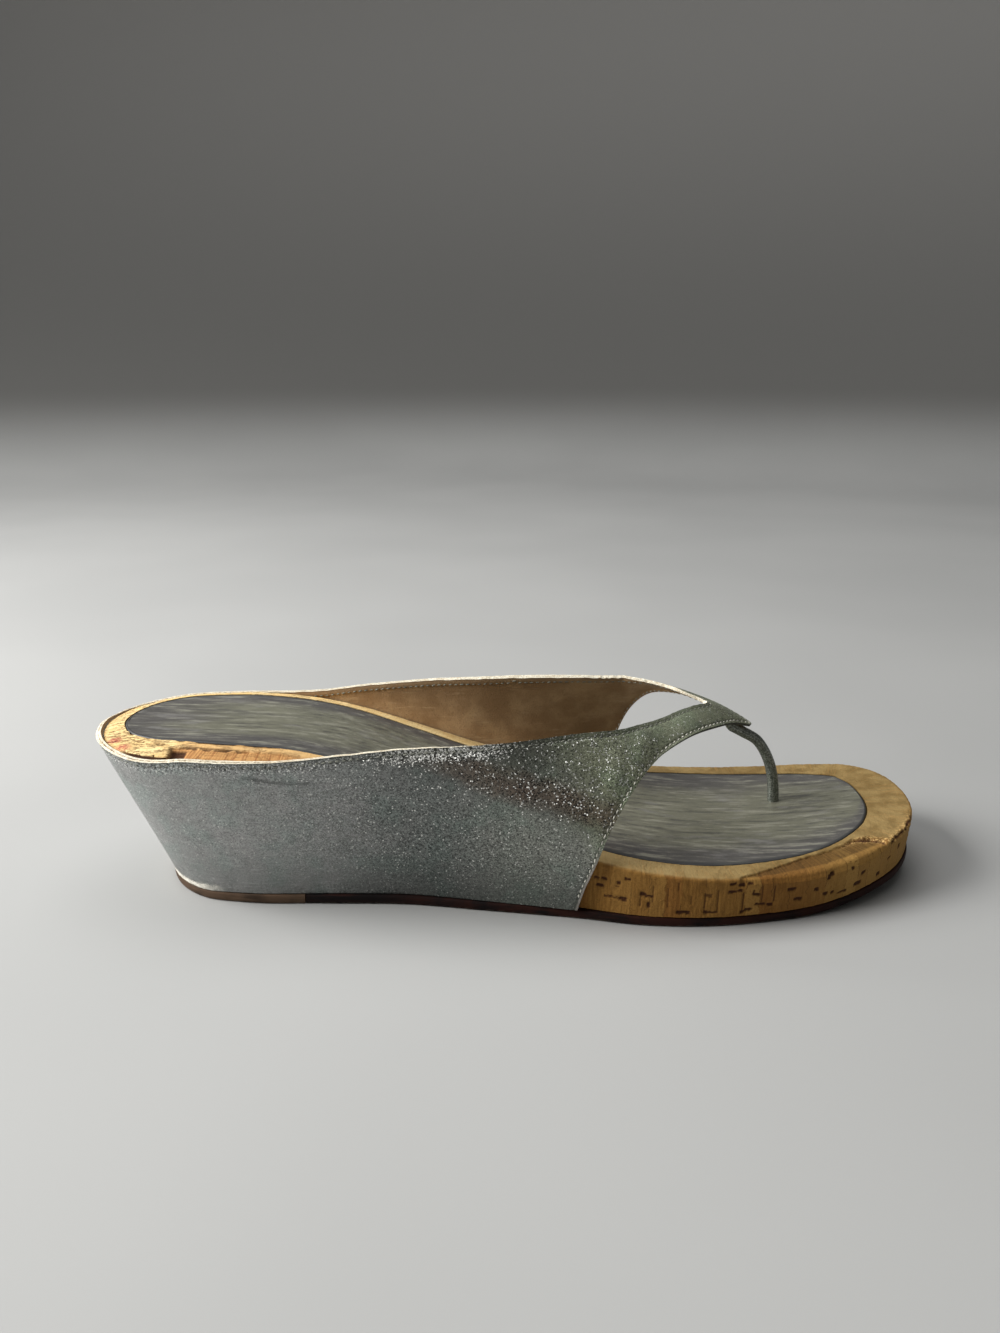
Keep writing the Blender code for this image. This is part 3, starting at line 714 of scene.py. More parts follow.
def sock_points():
    """Rings of the sock from the middle of its underside over its edge to the middle of its top,
    which the foot has pressed in at heel and ball, and how far inwards each ring lies."""
    turns = dense_turns(((0.0, 4.0, 60), (4.0, 11.0, 60), (11.0, 15.0, 60)))
    under = sock_rim(turns, SOCK_GAP, SOCK_THICKNESS)
    top = sock_rim(turns, SOCK_GAP + 0.6, -0.05)
    rings = to_middle(under, (1.0, 0.4))
    rings += [under, sock_rim(turns, SOCK_GAP, 0.5), sock_rim(turns, SOCK_GAP + 0.06, 0.22)]
    rings += [sock_rim(turns, SOCK_GAP + 0.28, 0.02), top]
    shares = np.linspace(0, 1, 26)[1:]
    inner = to_middle(top, shares)
    for share, ring in zip(shares, inner):
        cup = hump(ring[:, 0] + 84, 30) + 0.8 * hump(ring[:, 0] - 52, 28)
        ring[:, 2] -= 0.55 * step(share, 0.12, 0.75) * cup
        rings.append(ring)
    points = np.array(rings)
    edge = np.concatenate([np.zeros(len(rings) - len(shares)), shares])
    return points, np.broadcast_to(edge[:, None], points.shape[:2])


def sock_finish():
    """Burnished leather with strokes along the foot and a dark cut edge."""
    material, nodes = new_finish("slate sock leather")
    place = on_last(nodes)
    inwards = mark(nodes, "inwards")
    rubbed = mottle(stretched(place, (0.020, 0.11, 0.11)), 1.0, 3.0)
    strokes = mottle(stretched(place, (0.06, 0.60, 0.60)), 1.0, 6.0, 0.75)
    pebble = mottle(place, 2.6, 3.0)
    worn = ease(inwards + rubbed * 0.5, 0.42, 0.80)
    worn = worn * ease(part_of(place, "X") + rubbed * 40.0, -92.0, -62.0)
    colour = mix(worn, (0.079, 0.075, 0.070), (0.136, 0.135, 0.098))
    colour = mix(ease(strokes, 0.51, 0.63) * 0.75, colour, (0.255, 0.250, 0.200))
    colour = mix(ease(strokes, 0.48, 0.37) * 0.70, colour, (0.047, 0.045, 0.042))
    smears = mottle(stretched(place, (0.05, 0.16, 0.16)), 1.0, 5.0, 0.7)
    colour = mix(ease(smears, 0.54, 0.70) * 0.55, colour, (0.205, 0.200, 0.190))
    colour = mix(ease(smears, 0.46, 0.32) * 0.45, colour, (0.052, 0.050, 0.054))
    colour = mix(ease(inwards, 0.05, 0.0) * 0.8, colour, (0.018, 0.020, 0.022))
    relief = bumps(pebble * 0.4 + strokes * 0.6, 0.10)
    paint(nodes, {
        "Base Color": colour, "Roughness": 0.36 + 0.26 * strokes, "Normal": relief,
        "Specular IOR Level": 0.5,
    })
    return material


sock_rings, sock_inwards = sock_points()
sock_mesh = lay_grid(sock_rings, marks={"inwards": sock_inwards})
weld(sock_mesh)
sock = make_piece("sock_leather", sock_mesh, sock_finish())
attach(sock, "root")
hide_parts("insole")


# Upper: pewter foil leather with a tan lining, glued round the heel and the sides of the wedge and
# carried on as two wings that meet over the foot. Its edges are left raw and show cream, and it is
# rubbed white at the foot of the heel.

# Top line on the wedge: rise above the footbed edge and lean towards the foot, outside and inside.
WING = np.array((
    (-126.0, 0.5, -0.7, 0.5, -0.7),
    (-119.0, 0.4, -0.5, 0.1, -0.2),
    (-112.0, -0.3, -0.25, 0.1, 0.0),
    (-106.0, -0.6, -0.12, 0.1, 0.1),
    (-100.0, -0.4, -0.15, 0.1, 0.1),
    (-92.0, 0.6, -0.3, 0.1, 0.1),
    (-80.0, 0.8, -0.3, 0.3, 0.1),
    (-64.0, 2.2, 0.0, 2.2, 0.0),
    (-47.0, 7.5, 0.0, 8.0, 0.0),
    (-30.0, 14.8, 0.3, 15.2, 0.3),
    (-14.0, 21.2, 2.0, 21.8, 1.6),
    (0.0, 26.5, 5.3, 27.2, 3.6),
    (18.3, 32.0, 14.2, 32.6, 8.0),
    (30.0, 33.6, 21.6, 34.8, 12.2),
))
# Ribs of the V strap from the outer side over the point to the inner side: front edge, top edge
# and how far the leather bows out between them.
STRAP = np.array((
    (25.9, -39.6, 28.2, 30.0, -21.3, 51.7, 3.2),
    (32.6, -33.9, 38.2, 35.5, -16.8, 51.3, 1.9),
    (41.0, -23.4, 43.8, 43.0, -10.5, 51.0, 1.2),
    (51.1, -14.3, 46.9, 50.0, -3.2, 51.0, 0.8),
    (60.6, -5.4, 46.7, 56.8, 2.6, 50.9, 0.3),
    (68.4, 2.6, 45.0, 59.4, 4.8, 50.5, 0.4),
    (74.6, 7.7, 42.8, 60.0, 6.2, 50.4, 0.5),
    (68.8, 12.4, 45.8, 59.2, 7.6, 50.6, 0.4),
    (60.2, 16.8, 48.7, 54.5, 10.6, 52.0, 0.3),
    (52.3, 22.6, 48.8, 49.0, 16.6, 52.6, 0.5),
    (45.6, 29.8, 46.0, 43.9, 21.0, 52.8, 1.0),
    (40.2, 35.2, 39.0, 41.0, 22.8, 52.9, 1.5),
    (35.8, 38.2, 28.8, 38.2, 24.4, 52.9, 1.9),
))
FOOT_MIDDLE = (0.0, 3.0, 22.0)
# The leather has a rib at every third of a turn round the wedge as far as its front corners.
RIB_TURN = 1 / 3
OUTER_CORNER = 21
INNER_CORNER = 67
FRONT_STARTS = (0.5, 1.0)
FRONT_LEANS = (1.9, 4.3)
RIB_POINTS = 48
TOP_ROWS = np.array((0, 0.25, 0.5, 0.8, 1.1, 1.4, 1.7, 2.0, 2.3, 2.6, 3.0, 3.6))
FRONT_ROWS = np.array((*TOP_ROWS[:-1], 3.5, 4.1, 4.8, 5.6, 6.6))
FIELD_ROWS = 34
NARROWEST_FULL = 14.0
TOP_STITCH_INSET = 1.4
FRONT_STITCH_INSET = 0.9
POINTS_AT_ONCE = 4000
# Creases on the outer side: their two ends along and up the shoe, width and depth.
CREASES = (
    ((-75.5, 41.6), (-50.5, 40.0), 1.40, 0.22),
    ((-100.0, 41.0), (-82.0, 36.0), 1.80, 0.22),
    ((-88.0, 38.4), (-70.0, 33.4), 2.20, 0.20),
    ((-97.0, 22.0), (-66.0, 17.5), 2.60, 0.16),
    ((-96.0, 10.0), (-78.0, 8.2), 1.60, 0.18),
    ((-30.0, 46.5), (4.0, 42.4), 3.00, 0.34),
    ((2.0, 43.0), (26.0, 33.4), 3.20, 0.42),
    ((-6.0, 30.0), (14.0, 24.5), 3.00, 0.18),
    ((22.5, 12.0), (20.5, 22.0), 1.80, 0.12),
)


def at_places(line, lengths, places):
    """Points of a line at places along it, by the length at each of its own points."""
    return np.column_stack([np.interp(places, lengths, line[:, axis]) for axis in range(3)])


def evenly(points):
    """The points of a rib, spread evenly along it."""
    lengths = run_lengths(points)
    return at_places(points, lengths, np.linspace(0, lengths[-1], RIB_POINTS))


def bent(start, control, end):
    share = np.linspace(0, 1, 60)[:, None]
    return start * (1 - share) ** 2 + 2 * control * share * (1 - share) + end * share**2


def wall_rib(line, inside, start=0.0):
    """Rib on the wedge: up the wall to the footbed edge, then on and over towards the foot."""
    low, edge, wedge_edge = line
    rise = smooth(WING[:, 0], WING[:, 1 + 2 * inside], edge[0])[0] + WEDGE_EDGE_ROUND
    lean = smooth(WING[:, 0], WING[:, 2 + 2 * inside], edge[0])[0]
    inward = (wedge_edge - edge) / np.linalg.norm(wedge_edge - edge)
    wall = edge - low
    shoulder = edge + wall / np.linalg.norm(wall) * rise / 2
    top = edge + inward * lean + (0, 0, rise)
    return evenly(np.concatenate([[low + wall * start], bent(edge, shoulder, top)]))


def upper_ribs():
    """All ribs round the leather, from the back of the heel round the outer side."""
    turns = np.arange(0, ROUND, RIB_TURN)
    foot, edge = plan_at(turns, 0), plan_at(turns, 1)
    height = bed_height(edge[:, 0]) - WEDGE_EDGE_ROUND - SOLE_THICKNESS - GLUE_GAP
    slant = np.hypot(height, np.linalg.norm(edge - foot, axis=1)) / height
    away = (GLUE_GAP + LEATHER_WALL) * slant
    top = bed_height(edge[:, 0]) - WEDGE_EDGE_ROUND
    bottom = tread_height(foot[:, 0]) + SOLE_THICKNESS + GLUE_GAP
    low = np.column_stack([plan_at(turns, 0, away), bottom])
    high = np.column_stack([plan_at(turns, 1, away), top])
    lines = np.stack([low, high, np.column_stack([edge, top])], axis=1)

    def front(corner, ahead, inside):
        shares = np.array(FRONT_LEANS) / (lines[ahead, 1, 0] - lines[corner, 1, 0])
        mixed = [lines[corner] * (1 - share) + lines[ahead] * share for share in shares]
        return [wall_rib(line, inside, start) for line, start in zip(mixed, FRONT_STARTS)]

    outer = [wall_rib(line, 0) for line in lines[: OUTER_CORNER + 1]]
    outer += front(OUTER_CORNER, OUTER_CORNER + 1, 0)
    inner = front(INNER_CORNER, INNER_CORNER - 1, 1)[::-1]
    inner += [wall_rib(line, 1) for line in lines[INNER_CORNER:]]
    fronts, tops = STRAP[:, :3], STRAP[:, 3:6]
    middles = (fronts + tops) / 2
    chords = unit(tops - fronts)
    outward = (middles - FOOT_MIDDLE) * (0, 1, 1)
    outward = unit(outward - chords * np.sum(outward * chords, axis=1)[:, None])
    controls = middles + 2 * STRAP[:, 6:] * outward
    strap = [evenly(bent(*ends)) for ends in zip(fronts, controls, tops)]
    return np.array([*outer, *strap, *inner]), len(outer), len(strap)


def cornered_curve(points, turns, corners):
    """Like closed_curve, but with sharp turns at two of the points."""
    first, second = corners
    strap = points[first : second + 1]
    heel = np.concatenate([points[second:], points[: first + 1]])
    curve = np.empty((len(turns), 3))
    on_strap = (turns >= first) & (turns <= second)
    for chosen, run, start in ((on_strap, strap, first), (~on_strap, heel, second)):
        chords = run_lengths(run)
        at = np.mod(turns[chosen] - start, len(points))
        curve[chosen] = smooth(chords, run, np.interp(at, np.arange(len(run)), chords))
    return curve


def leather_points():
    """The outer face of the leather as rows from its lower or front edge to its top edge. Returns
    them with the columns where the front edge starts and ends."""
    ribs, walls, straps = upper_ribs()
    steps = np.full(len(ribs), 6)
    steps[OUTER_CORNER - 1 : OUTER_CORNER + 2] = (20, 8, 12)
    steps[walls - 1 : walls + straps] = 12
    steps[walls + straps : walls + straps + 3] = (12, 8, 20)
    turns = [i + np.linspace(0, 1, count, endpoint=False) for i, count in enumerate(steps)]
    turns = np.concatenate([*turns, [len(ribs)]])
    corners = OUTER_CORNER, walls + straps + len(FRONT_STARTS)
    lines = []
    for i, share in enumerate(np.linspace(0, 1, RIB_POINTS)):
        free = step(share, 0.0, 0.35)
        round_line = closed_curve(ribs[:, i], turns)
        lines.append(round_line * free + cornered_curve(ribs[:, i], turns, corners) * (1 - free))
    lines = np.array(lines)
    columns = []
    for rib in lines.transpose(1, 0, 2):
        lengths = run_lengths(rib)
        narrow = min(1.0, lengths[-1] / NARROWEST_FULL)
        front, top = FRONT_ROWS * narrow, lengths[-1] - TOP_ROWS[::-1] * narrow
        field = np.linspace(front[-1], top[0], FIELD_ROWS + 2)[1:-1]
        columns.append(at_places(rib, lengths, np.concatenate([front, field, top])))
    starts = np.concatenate([[0], np.cumsum(steps)])
    return np.array(columns).transpose(1, 0, 2), starts[corners[0]], starts[corners[1]]


def distance_to(points, line):
    """Distance of each point to a line given by close points."""
    flat = points.reshape(-1, 3)
    starts = range(0, len(flat), POINTS_AT_ONCE)
    parts = (flat[start : start + POINTS_AT_ONCE, None] for start in starts)
    near = [np.sqrt(((part - line[None]) ** 2).sum(axis=2).min(axis=1)) for part in parts]
    return np.concatenate(near).reshape(points.shape[:2])


def finer(line, parts=4):
    return at_places(line, np.arange(len(line)), np.arange(0, len(line) - 1, 1 / parts))


def crease_depth(points):
    """How deep the listed creases press the leather in, on its outer side."""
    depth = np.zeros(points.shape[:2])
    place = points[..., (0, 2)]
    bend = 1.2 * ragged(points, 9.0, 4.0)
    for start, end, width, deep in CREASES:
        run = np.subtract(end, start)
        length = np.linalg.norm(run)
        run = run / length
        offset = place - start
        along = (offset @ run) / length
        across = offset[..., 0] * run[1] - offset[..., 1] * run[0]
        across += bend * np.sin(np.pi * np.clip(along, 0, 1))
        ends = step(along, -0.12, 0.25) * step(along, 1.12, 0.75)
        depth += deep * ends * (hump(across, width) - 0.4 * hump(across - 2.0 * width, width))
    return np.where(points[..., 1] < 0, depth, 0)


leather, front_start, front_end = leather_points()
top_edge = finer(leather[-1])
front_edge = finer(leather[0, front_start : front_end + 1])
foot_edge = finer(np.concatenate([leather[0, front_end:-1], leather[0, : front_start + 1]]))
from_top = distance_to(leather, top_edge)
from_front = distance_to(leather, front_edge)
from_foot = distance_to(leather, foot_edge)
leather_out = outward_normals(leather)
stitch_face = leather.copy()
sewn = hump(from_top - TOP_STITCH_INSET, 0.5) + hump(from_front - FRONT_STITCH_INSET, 0.45)
lip = hump(from_top, 0.9) + hump(from_front, 0.9)
swell = 0.16 * ragged(leather, 16.0, 2.0) + 0.05 * ragged(leather, 5.0, 6.0)
swell *= step(np.minimum(from_foot, from_front), 0.0, 4.0)
rub = hump(from_foot, 1.5) * step(leather[..., 0], -78.0, -92.0)
leather_rise = swell - crease_depth(leather) - 0.20 * np.minimum(sewn, 1) + 0.06 * lip
leather_rise += rub * (0.25 + 0.2 * ragged(leather, 1.3, 9.0))
leather += leather_out * leather_rise[..., None]
leather[-1, :, 2] += 0.12 * ragged(leather[-1:], 1.2, 12.0)[0]
leather[:, -1] = leather[:, 0]


def flakes_of(place, size):
    """A random tone, glint and tilt for each metal flake of the given size."""
    cells = place.add("ShaderNodeTexVoronoi", {}, {"Vector": place, "Scale": 1 / size}, "Color")
    split = {"mode": "RGB"}
    tone = place.add("ShaderNodeSeparateColor", split, {0: cells}, 0)
    glint = place.add("ShaderNodeSeparateColor", split, {0: cells}, 1)
    return tone, glint, cells


def tinted(colour, factors):
    return colour.add("ShaderNodeVectorMath", {"operation": "MULTIPLY"}, {0: colour, 1: factors})


def toned(colour, amount):
    return colour.add("ShaderNodeVectorMath", {"operation": "SCALE"}, {0: colour, "Scale": amount})


def fold_line(along, height, start, end, width):
    """Mask of a thin fold between two places on the side of the shoe."""
    run = np.subtract(end, start)
    length = float(np.linalg.norm(run))
    cos, sin = (float(part) / length for part in run)
    share = ((along - start[0]) * cos + (height - start[1]) * sin) / length
    sag = (share - 0.5) * (share - 0.5) * 6.0
    offset = (height - start[1]) * cos - (along - start[0]) * sin - sag + 1.5
    return ease(offset * offset, width * width, 0.0) * ease(share, -0.05, 0.2) * ease(share, 1.05, 0.7)


def pewter_finish():
    """Foil leather: crushed metal flakes of random tone with glints painted on single flakes, a painted
    highlight band below the outer top edge, brushed along the heel and lighter there partly as painted
    light, greener and lighter towards the strap, a brown band that is partly stain and partly painted
    dark reflection, painted shade in a fold and in the stitch grooves, with the foil rubbed off along
    its lower edge at the heel."""
    material, nodes = new_finish("pewter foil leather")
    place = on_last(nodes)
    top, front, foot = (mark(nodes, name) for name in ("from_top", "from_front", "from_foot"))
    along, across, height = (part_of(place, axis) for axis in "XYZ")
    tone, glint, cells = flakes_of(place, 0.32)
    fine = mottle(place, 3.2, 2.0, 0.6)
    cloud = mottle(place, 0.055, 3.0)
    blotch = mottle(place, 0.20, 4.0, 0.6)
    tint = mottle(place, 0.11, 2.0)
    brushed = mottle(stretched(place, (0.14, 0.14, 1.7)), 1.0, 4.0, 0.6)
    to_heel = ease(along + cloud * 34.0, 2.0, -78.0)
    to_strap = ease(along + 0.5 * (height - 40.0) + cloud * 14.0, 12.0, 34.0)
    to_front = ease(along, -24.0, 6.0)
    low = ease(height + blotch * 10.0, 27.0, 9.0)
    # Lighter towards the heel: partly the foil's own tone, partly painted light from the window side.
    colour = mix(to_heel, (0.160, 0.171, 0.163), (0.372, 0.378, 0.370))
    colour = mix(to_front * 0.8, colour, (0.245, 0.258, 0.228))
    colour = mix(to_strap, colour, (0.350, 0.376, 0.262))
    colour = mix(low * (0.50 - 0.30 * to_heel), colour, (0.080, 0.087, 0.082))
    colour = mix(ease(blotch, 0.50, 0.74) * 0.35, colour, (0.130, 0.140, 0.130))
    colour = mix(ease(tint, 0.50, 0.66) * 0.3, colour, tinted(colour, (0.86, 1.06, 1.00)))
    colour = mix(ease(tint, 0.48, 0.34) * 0.2, colour, tinted(colour, (1.08, 0.97, 1.00)))
    # A brown band across the outer side: partly a brown stain, partly a painted dark reflection.
    band = height - 43.5 + 0.32 * (along + 9.0)
    outer_side = ease(across, -18.0, -26.0)
    stain_and_painted_reflection = ease(band * band * 0.030 + blotch * 1.4, 1.75, 0.55)
    stain_and_painted_reflection = stain_and_painted_reflection * ease(along, -48.0, -2.0) * ease(along, 36.0, 24.0) * outer_side
    colour = mix(stain_and_painted_reflection * 0.85, colour, (0.118, 0.082, 0.060))
    olive = ease(along - 0.9 * (height - 47.0) + blotch * 10.0, 24.0, 8.0)
    olive = olive * ease(along, -14.0, 2.0) * ease(top, 13.0, 6.0) * outer_side
    colour = mix(olive * 0.5, colour, (0.105, 0.108, 0.078))
    streak = ease(brushed, 0.50, 0.70) * to_heel
    colour = mix(streak * 0.30, colour, (0.560, 0.570, 0.570))
    # Painted highlight band below the top edge of the outer side: a darker base strewn with painted
    # glints.
    painted_glint_band = ease(top, 5.2, 2.2) * ease(along, -44.0, -28.0) * ease(along, 6.0, -8.0)
    rim_glint = ease(top, 4.5, 2.0) * ease(along, -24.0, -60.0)
    shoulder = ease(along, -4.0, 10.0) * ease(along, 46.0, 34.0) * ease(height, 34.0, 42.0)
    colour = mix(painted_glint_band * 0.5, colour, (0.060, 0.062, 0.056))
    crisp = 1.10 - 0.60 * to_heel - 0.45 * low + 0.70 * stain_and_painted_reflection
    crisp = crisp + 0.45 * painted_glint_band + 0.6 * rim_glint + 0.3 * shoulder
    colour = toned(colour, 1.0 + crisp * (tone - 0.5) * 1.25)
    # Painted glints: single flakes turn near white, most in the painted glint band, under the rim and
    # on the shoulder.
    glint = glint + 0.42 * painted_glint_band + 0.10 * rim_glint + 0.03 * stain_and_painted_reflection + 0.05 * shoulder
    bright = 0.85 - 0.35 * to_heel - 0.45 * low + 0.3 * rim_glint + 0.3 * painted_glint_band
    colour = mix(ease(glint, 0.962, 0.990) * bright, colour, (0.940, 0.940, 0.900))
    specks = ease(mottle(place, 1.1, 3.0), 0.50, 0.62) * ease(top, 3.6, 1.4) * ease(along, -20.0, -40.0)
    colour = mix(specks * ease(along, -114.0, -100.0) * 0.7, colour, (0.045, 0.046, 0.042))
    # Painted shade along the fold of the first crease.
    crease = fold_line(along, height, (-75.5, 41.8), (-50.0, 40.2), 0.45)
    colour = mix(crease * 0.40, colour, (0.090, 0.095, 0.090))
    wear = ease(foot + blotch * 2.0 + fine * 2.4, 4.5, 3.5) * ease(along + blotch * 8.0, -78.0, -90.0)
    colour = mix(wear * 0.95, colour, (0.860, 0.820, 0.720))
    skived = ease(front, 0.75, 0.35) * ease(height, 24.0, 18.0)
    colour = mix(skived * 0.6, colour, (0.380, 0.330, 0.300))
    # Darker right at the top edge, and painted shade in the grooves the stitches sink into.
    sewn_top = ease(top, 0.5, 1.1) * ease(top, 2.3, 1.7) * ease(along, -60.0, -40.0)
    sewn_front = ease(front, 0.4, 0.8) * ease(front, 1.7, 1.2)
    edge_dark = ease(top, 0.9, 0.2) * 0.5 + sewn_top * 0.35 + sewn_front * 0.35
    colour = mix(edge_dark, colour, (0.060, 0.064, 0.050))
    metal = 0.80 - 0.75 * wear - 0.25 * stain_and_painted_reflection
    rough = 0.50 - 0.16 * tone + 0.08 * to_heel
    vector = "ShaderNodeVectorMath"
    tilt = nodes.add(vector, {"operation": "SUBTRACT"}, {0: cells, 1: (0.5, 0.5, 0.5)})
    face = bumps(fine * 0.6 + blotch * 0.4 - crease * 1.5, 0.16)
    facet = nodes.add(vector, {"operation": "ADD"}, {0: face, 1: toned(tilt, 0.5)})
    facet = nodes.add(vector, {"operation": "NORMALIZE"}, {0: facet})
    paint(nodes, {"Base Color": colour, "Metallic": metal, "Roughness": rough, "Normal": facet})
    return material


def lining_finish():
    """Tan lining leather: pebbled, darker where it has been handled, scuffed along the foot."""
    material, nodes = new_finish("tan lining leather")
    place = on_last(nodes)
    pebble = mottle(place, 1.6, 4.0, 0.6)
    patches = mottle(place, 0.10, 4.0, 0.6)
    scuffs = mottle(stretched(place, (0.09, 0.5, 0.8)), 1.0, 4.0, 0.65)
    top = mark(nodes, "from_top")
    colour = mix(ease(patches, 0.36, 0.66), (0.350, 0.215, 0.105), (0.500, 0.335, 0.180))
    colour = mix(ease(pebble, 0.52, 0.70) * 0.45, colour, (0.210, 0.120, 0.055))
    colour = mix(ease(scuffs, 0.56, 0.70) * 0.45, colour, (0.620, 0.460, 0.280))
    colour = mix(ease(top, 3.0, 0.8) * 0.45, colour, (0.230, 0.150, 0.080))
    relief = bumps(pebble * 0.7 + scuffs * 0.3, 0.20)
    paint(nodes, {"Base Color": colour, "Roughness": 0.50 + 0.25 * pebble, "Normal": relief})
    return material


def raw_edge_finish():
    """Cut edge of leather and lining: fuzzy cream along the top line, stained along the front."""
    material, nodes = new_finish("raw cream edge")
    place = on_last(nodes)
    front = mark(nodes, "from_front")
    fuzz = mottle(place, 1.8, 5.0, 0.7)
    soil = mottle(place, 0.35, 3.0)
    colour = mix(ease(fuzz, 0.36, 0.62), (0.640, 0.560, 0.410), (0.960, 0.920, 0.770))
    colour = mix(ease(soil, 0.52, 0.70) * 0.35, colour, (0.420, 0.330, 0.190))
    layers = mottle(stretched(place, (0.20, 1.5, 1.5)), 1.0, 3.0)
    colour = mix(ease(layers, 0.55, 0.62) * 0.5, colour, (0.460, 0.340, 0.190))
    stained = mix(ease(fuzz, 0.36, 0.62), (0.035, 0.038, 0.030), (0.100, 0.100, 0.080))
    skived = mix(ease(fuzz, 0.36, 0.62), (0.230, 0.200, 0.180), (0.420, 0.370, 0.335))
    stained = mix(ease(part_of(place, "Z"), 24.0, 18.0), stained, skived)
    colour = mix(ease(front, 2.5, 1.2), colour, stained)
    paint(nodes, {"Base Color": colour, "Roughness": 0.9, "Normal": bumps(fuzz, 0.5)})
    return material


def thinned(x):
    """Share of the leather's thickness left where the wings are skived towards the strap."""
    return np.interp(x, (5.0, 40.0), (1.0, 0.62))


upper_marks = {"from_top": from_top, "from_front": from_front, "from_foot": from_foot}
upper_mesh = lay_grid(leather, marks=upper_marks)
weld(upper_mesh)
leather_tree = BVHTree.FromBMesh(upper_mesh)
upper_finishes = pewter_finish(), lining_finish(), raw_edge_finish()
upper = make_piece("upper_leather", upper_mesh, *upper_finishes, sharp=60)
thickness = upper.vertex_groups.new(name="thickness")
for vertex in upper.data.vertices:
    thickness.add([vertex.index], thinned((TO_FRAME.inverted() @ vertex.co).x), "REPLACE")
wall = upper.modifiers.new("lining", "SOLIDIFY")
wall.thickness = LEATHER_WALL / 1000
wall.vertex_group = thickness.name
wall.offset = -1.0
wall.material_offset = 1
wall.material_offset_rim = 2
rounding = upper.modifiers.new("pared edge", "BEVEL")
rounding.width = 0.35 / 1000
rounding.segments = 2
rounding.limit_method = "ANGLE"
rounding.angle_limit = np.radians(55)
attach(upper, "root")
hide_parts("upper")


# Glue line: the raw top edge shows leather and lining side by side, with brown glue between them
# that has dried in crumbs.

GLUE_END = -22.0
GLUE_HALF = (0.17, 0.08)


def glue_points():
    """A thin bead along the middle of the top edge, from the inner side round the heel."""
    behind = leather[-1, :-1, 0] < GLUE_END
    ahead = int(np.argmin(behind))
    order = np.roll(np.arange(len(behind)), -ahead)
    order = order[behind[order]]
    out = leather_out[-1, order]
    up = unit(leather[-1, order] - leather[-4, order])
    middle = leather[-1, order] - out * LEATHER_WALL / 2
    angle = np.linspace(0, 2 * np.pi, 9)[:, None, None]
    taper = step(np.minimum(np.arange(len(order)), np.arange(len(order))[::-1]), -0.01, 30)[:, None]
    return middle + (out * GLUE_HALF[0] * np.cos(angle) + up * GLUE_HALF[1] * np.sin(angle)) * taper


def glue_finish():
    """Dried glue, brown where it is thick and pale where it has crumbled."""
    material, nodes = new_finish("brown glue")
    crumbs = mottle(on_last(nodes), 0.9, 3.0)
    colour = mix(ease(crumbs, 0.40, 0.60), (0.180, 0.105, 0.045), (0.620, 0.520, 0.360))
    paint(nodes, {"Base Color": colour, "Roughness": 0.7 + 0.2 * crumbs})
    return material


glue_mesh = lay_grid(glue_points())
weld(glue_mesh)
glue = make_piece("edge_glue", glue_mesh, glue_finish())
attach(glue, "root")


# Edge stitching: one row of waxed thread along the top line and one along each front edge, sewn
# through leather and lining, so that it shows on both faces. The top row has taken up the colour of
# the leather, the front row is still pale.

STITCH_PITCH = 1.9
STITCH_HALF = (0.66, 0.24, 0.20)
STITCH_SLANT = np.radians(9)
STITCH_SEAT = 0.05


def along_line(line, pitch):
    """Places at an even pitch along a line, with the direction of the line there."""
    lengths = run_lengths(line)
    places = np.arange(pitch, lengths[-1] - pitch / 2, pitch)
    spots = at_places(line, lengths, places)
    return zip(spots, at_places(line, lengths, places + 0.5) - spots)


def inset_line(edge, inwards, inset):
    """A line that runs beside an edge of the leather, on its face."""
    along = unit(np.gradient(edge, axis=0))
    inwards = unit(inwards - along * np.sum(inwards * along, axis=1)[:, None])
    return edge + inwards * inset


def thread_finish(name, dark, pale):
    """Twisted thread, soiled in places."""
    material, nodes = new_finish(name)
    place = on_last(nodes)
    ply = mottle(place, 3.0, 2.0)
    soil = mottle(place, 0.18, 2.0)
    colour = mix(ease(ply, 0.40, 0.62), dark, pale)
    colour = mix(ease(soil, 0.48, 0.66) * 0.6, colour, tuple(0.4 * part for part in dark))
    paint(nodes, {"Base Color": colour, "Roughness": 0.62, "Normal": bumps(ply, 0.10)})
    return material


def sewn_row(line):
    """Stitches along a line on the leather and under each of them on the lining."""
    bm = bmesh.new()
    uneven = np.random.default_rng(5)
    for spot, run in along_line(line, STITCH_PITCH):
        seat, normal, _, _ = leather_tree.find_nearest(Vector(spot))
        size = Matrix.Diagonal((*(np.array(STITCH_HALF) * uneven.uniform(0.8, 1.15)), 1.0))
        turn = Matrix.Rotation(STITCH_SLANT + uneven.uniform(-0.12, 0.12), 4, "Z")
        under = seat - normal * LEATHER_WALL * thinned(spot[0])
        for face, out in ((seat, normal), (under, -normal)):
            along = Vector(run)
            along = (along - out * along.dot(out)).normalized()
            axes = Matrix((along, out.cross(along), out)).transposed().to_4x4()
            place = Matrix.Translation(face + out * STITCH_SEAT) @ axes @ turn @ size
            bmesh.ops.create_uvsphere(bm, u_segments=6, v_segments=4, radius=1.0, matrix=place)
    return bm


front_line = inset_line(
    stitch_face[0, front_start : front_end + 1],
    (stitch_face[8] - stitch_face[0])[front_start : front_end + 1],
    FRONT_STITCH_INSET,
)
top_line = inset_line(stitch_face[-1], stitch_face[-9] - stitch_face[-1], TOP_STITCH_INSET)
top_thread = thread_finish("soiled thread", (0.150, 0.156, 0.130), (0.340, 0.345, 0.290))
top_stitches = make_piece("top_stitches", sewn_row(top_line), top_thread)
front_thread = thread_finish("pale thread", (0.420, 0.410, 0.350), (0.800, 0.780, 0.690))
front_stitches = make_piece("front_stitches", sewn_row(front_line[3:-3]), front_thread)
for row in (top_stitches, front_stitches):
    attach(row, "root")


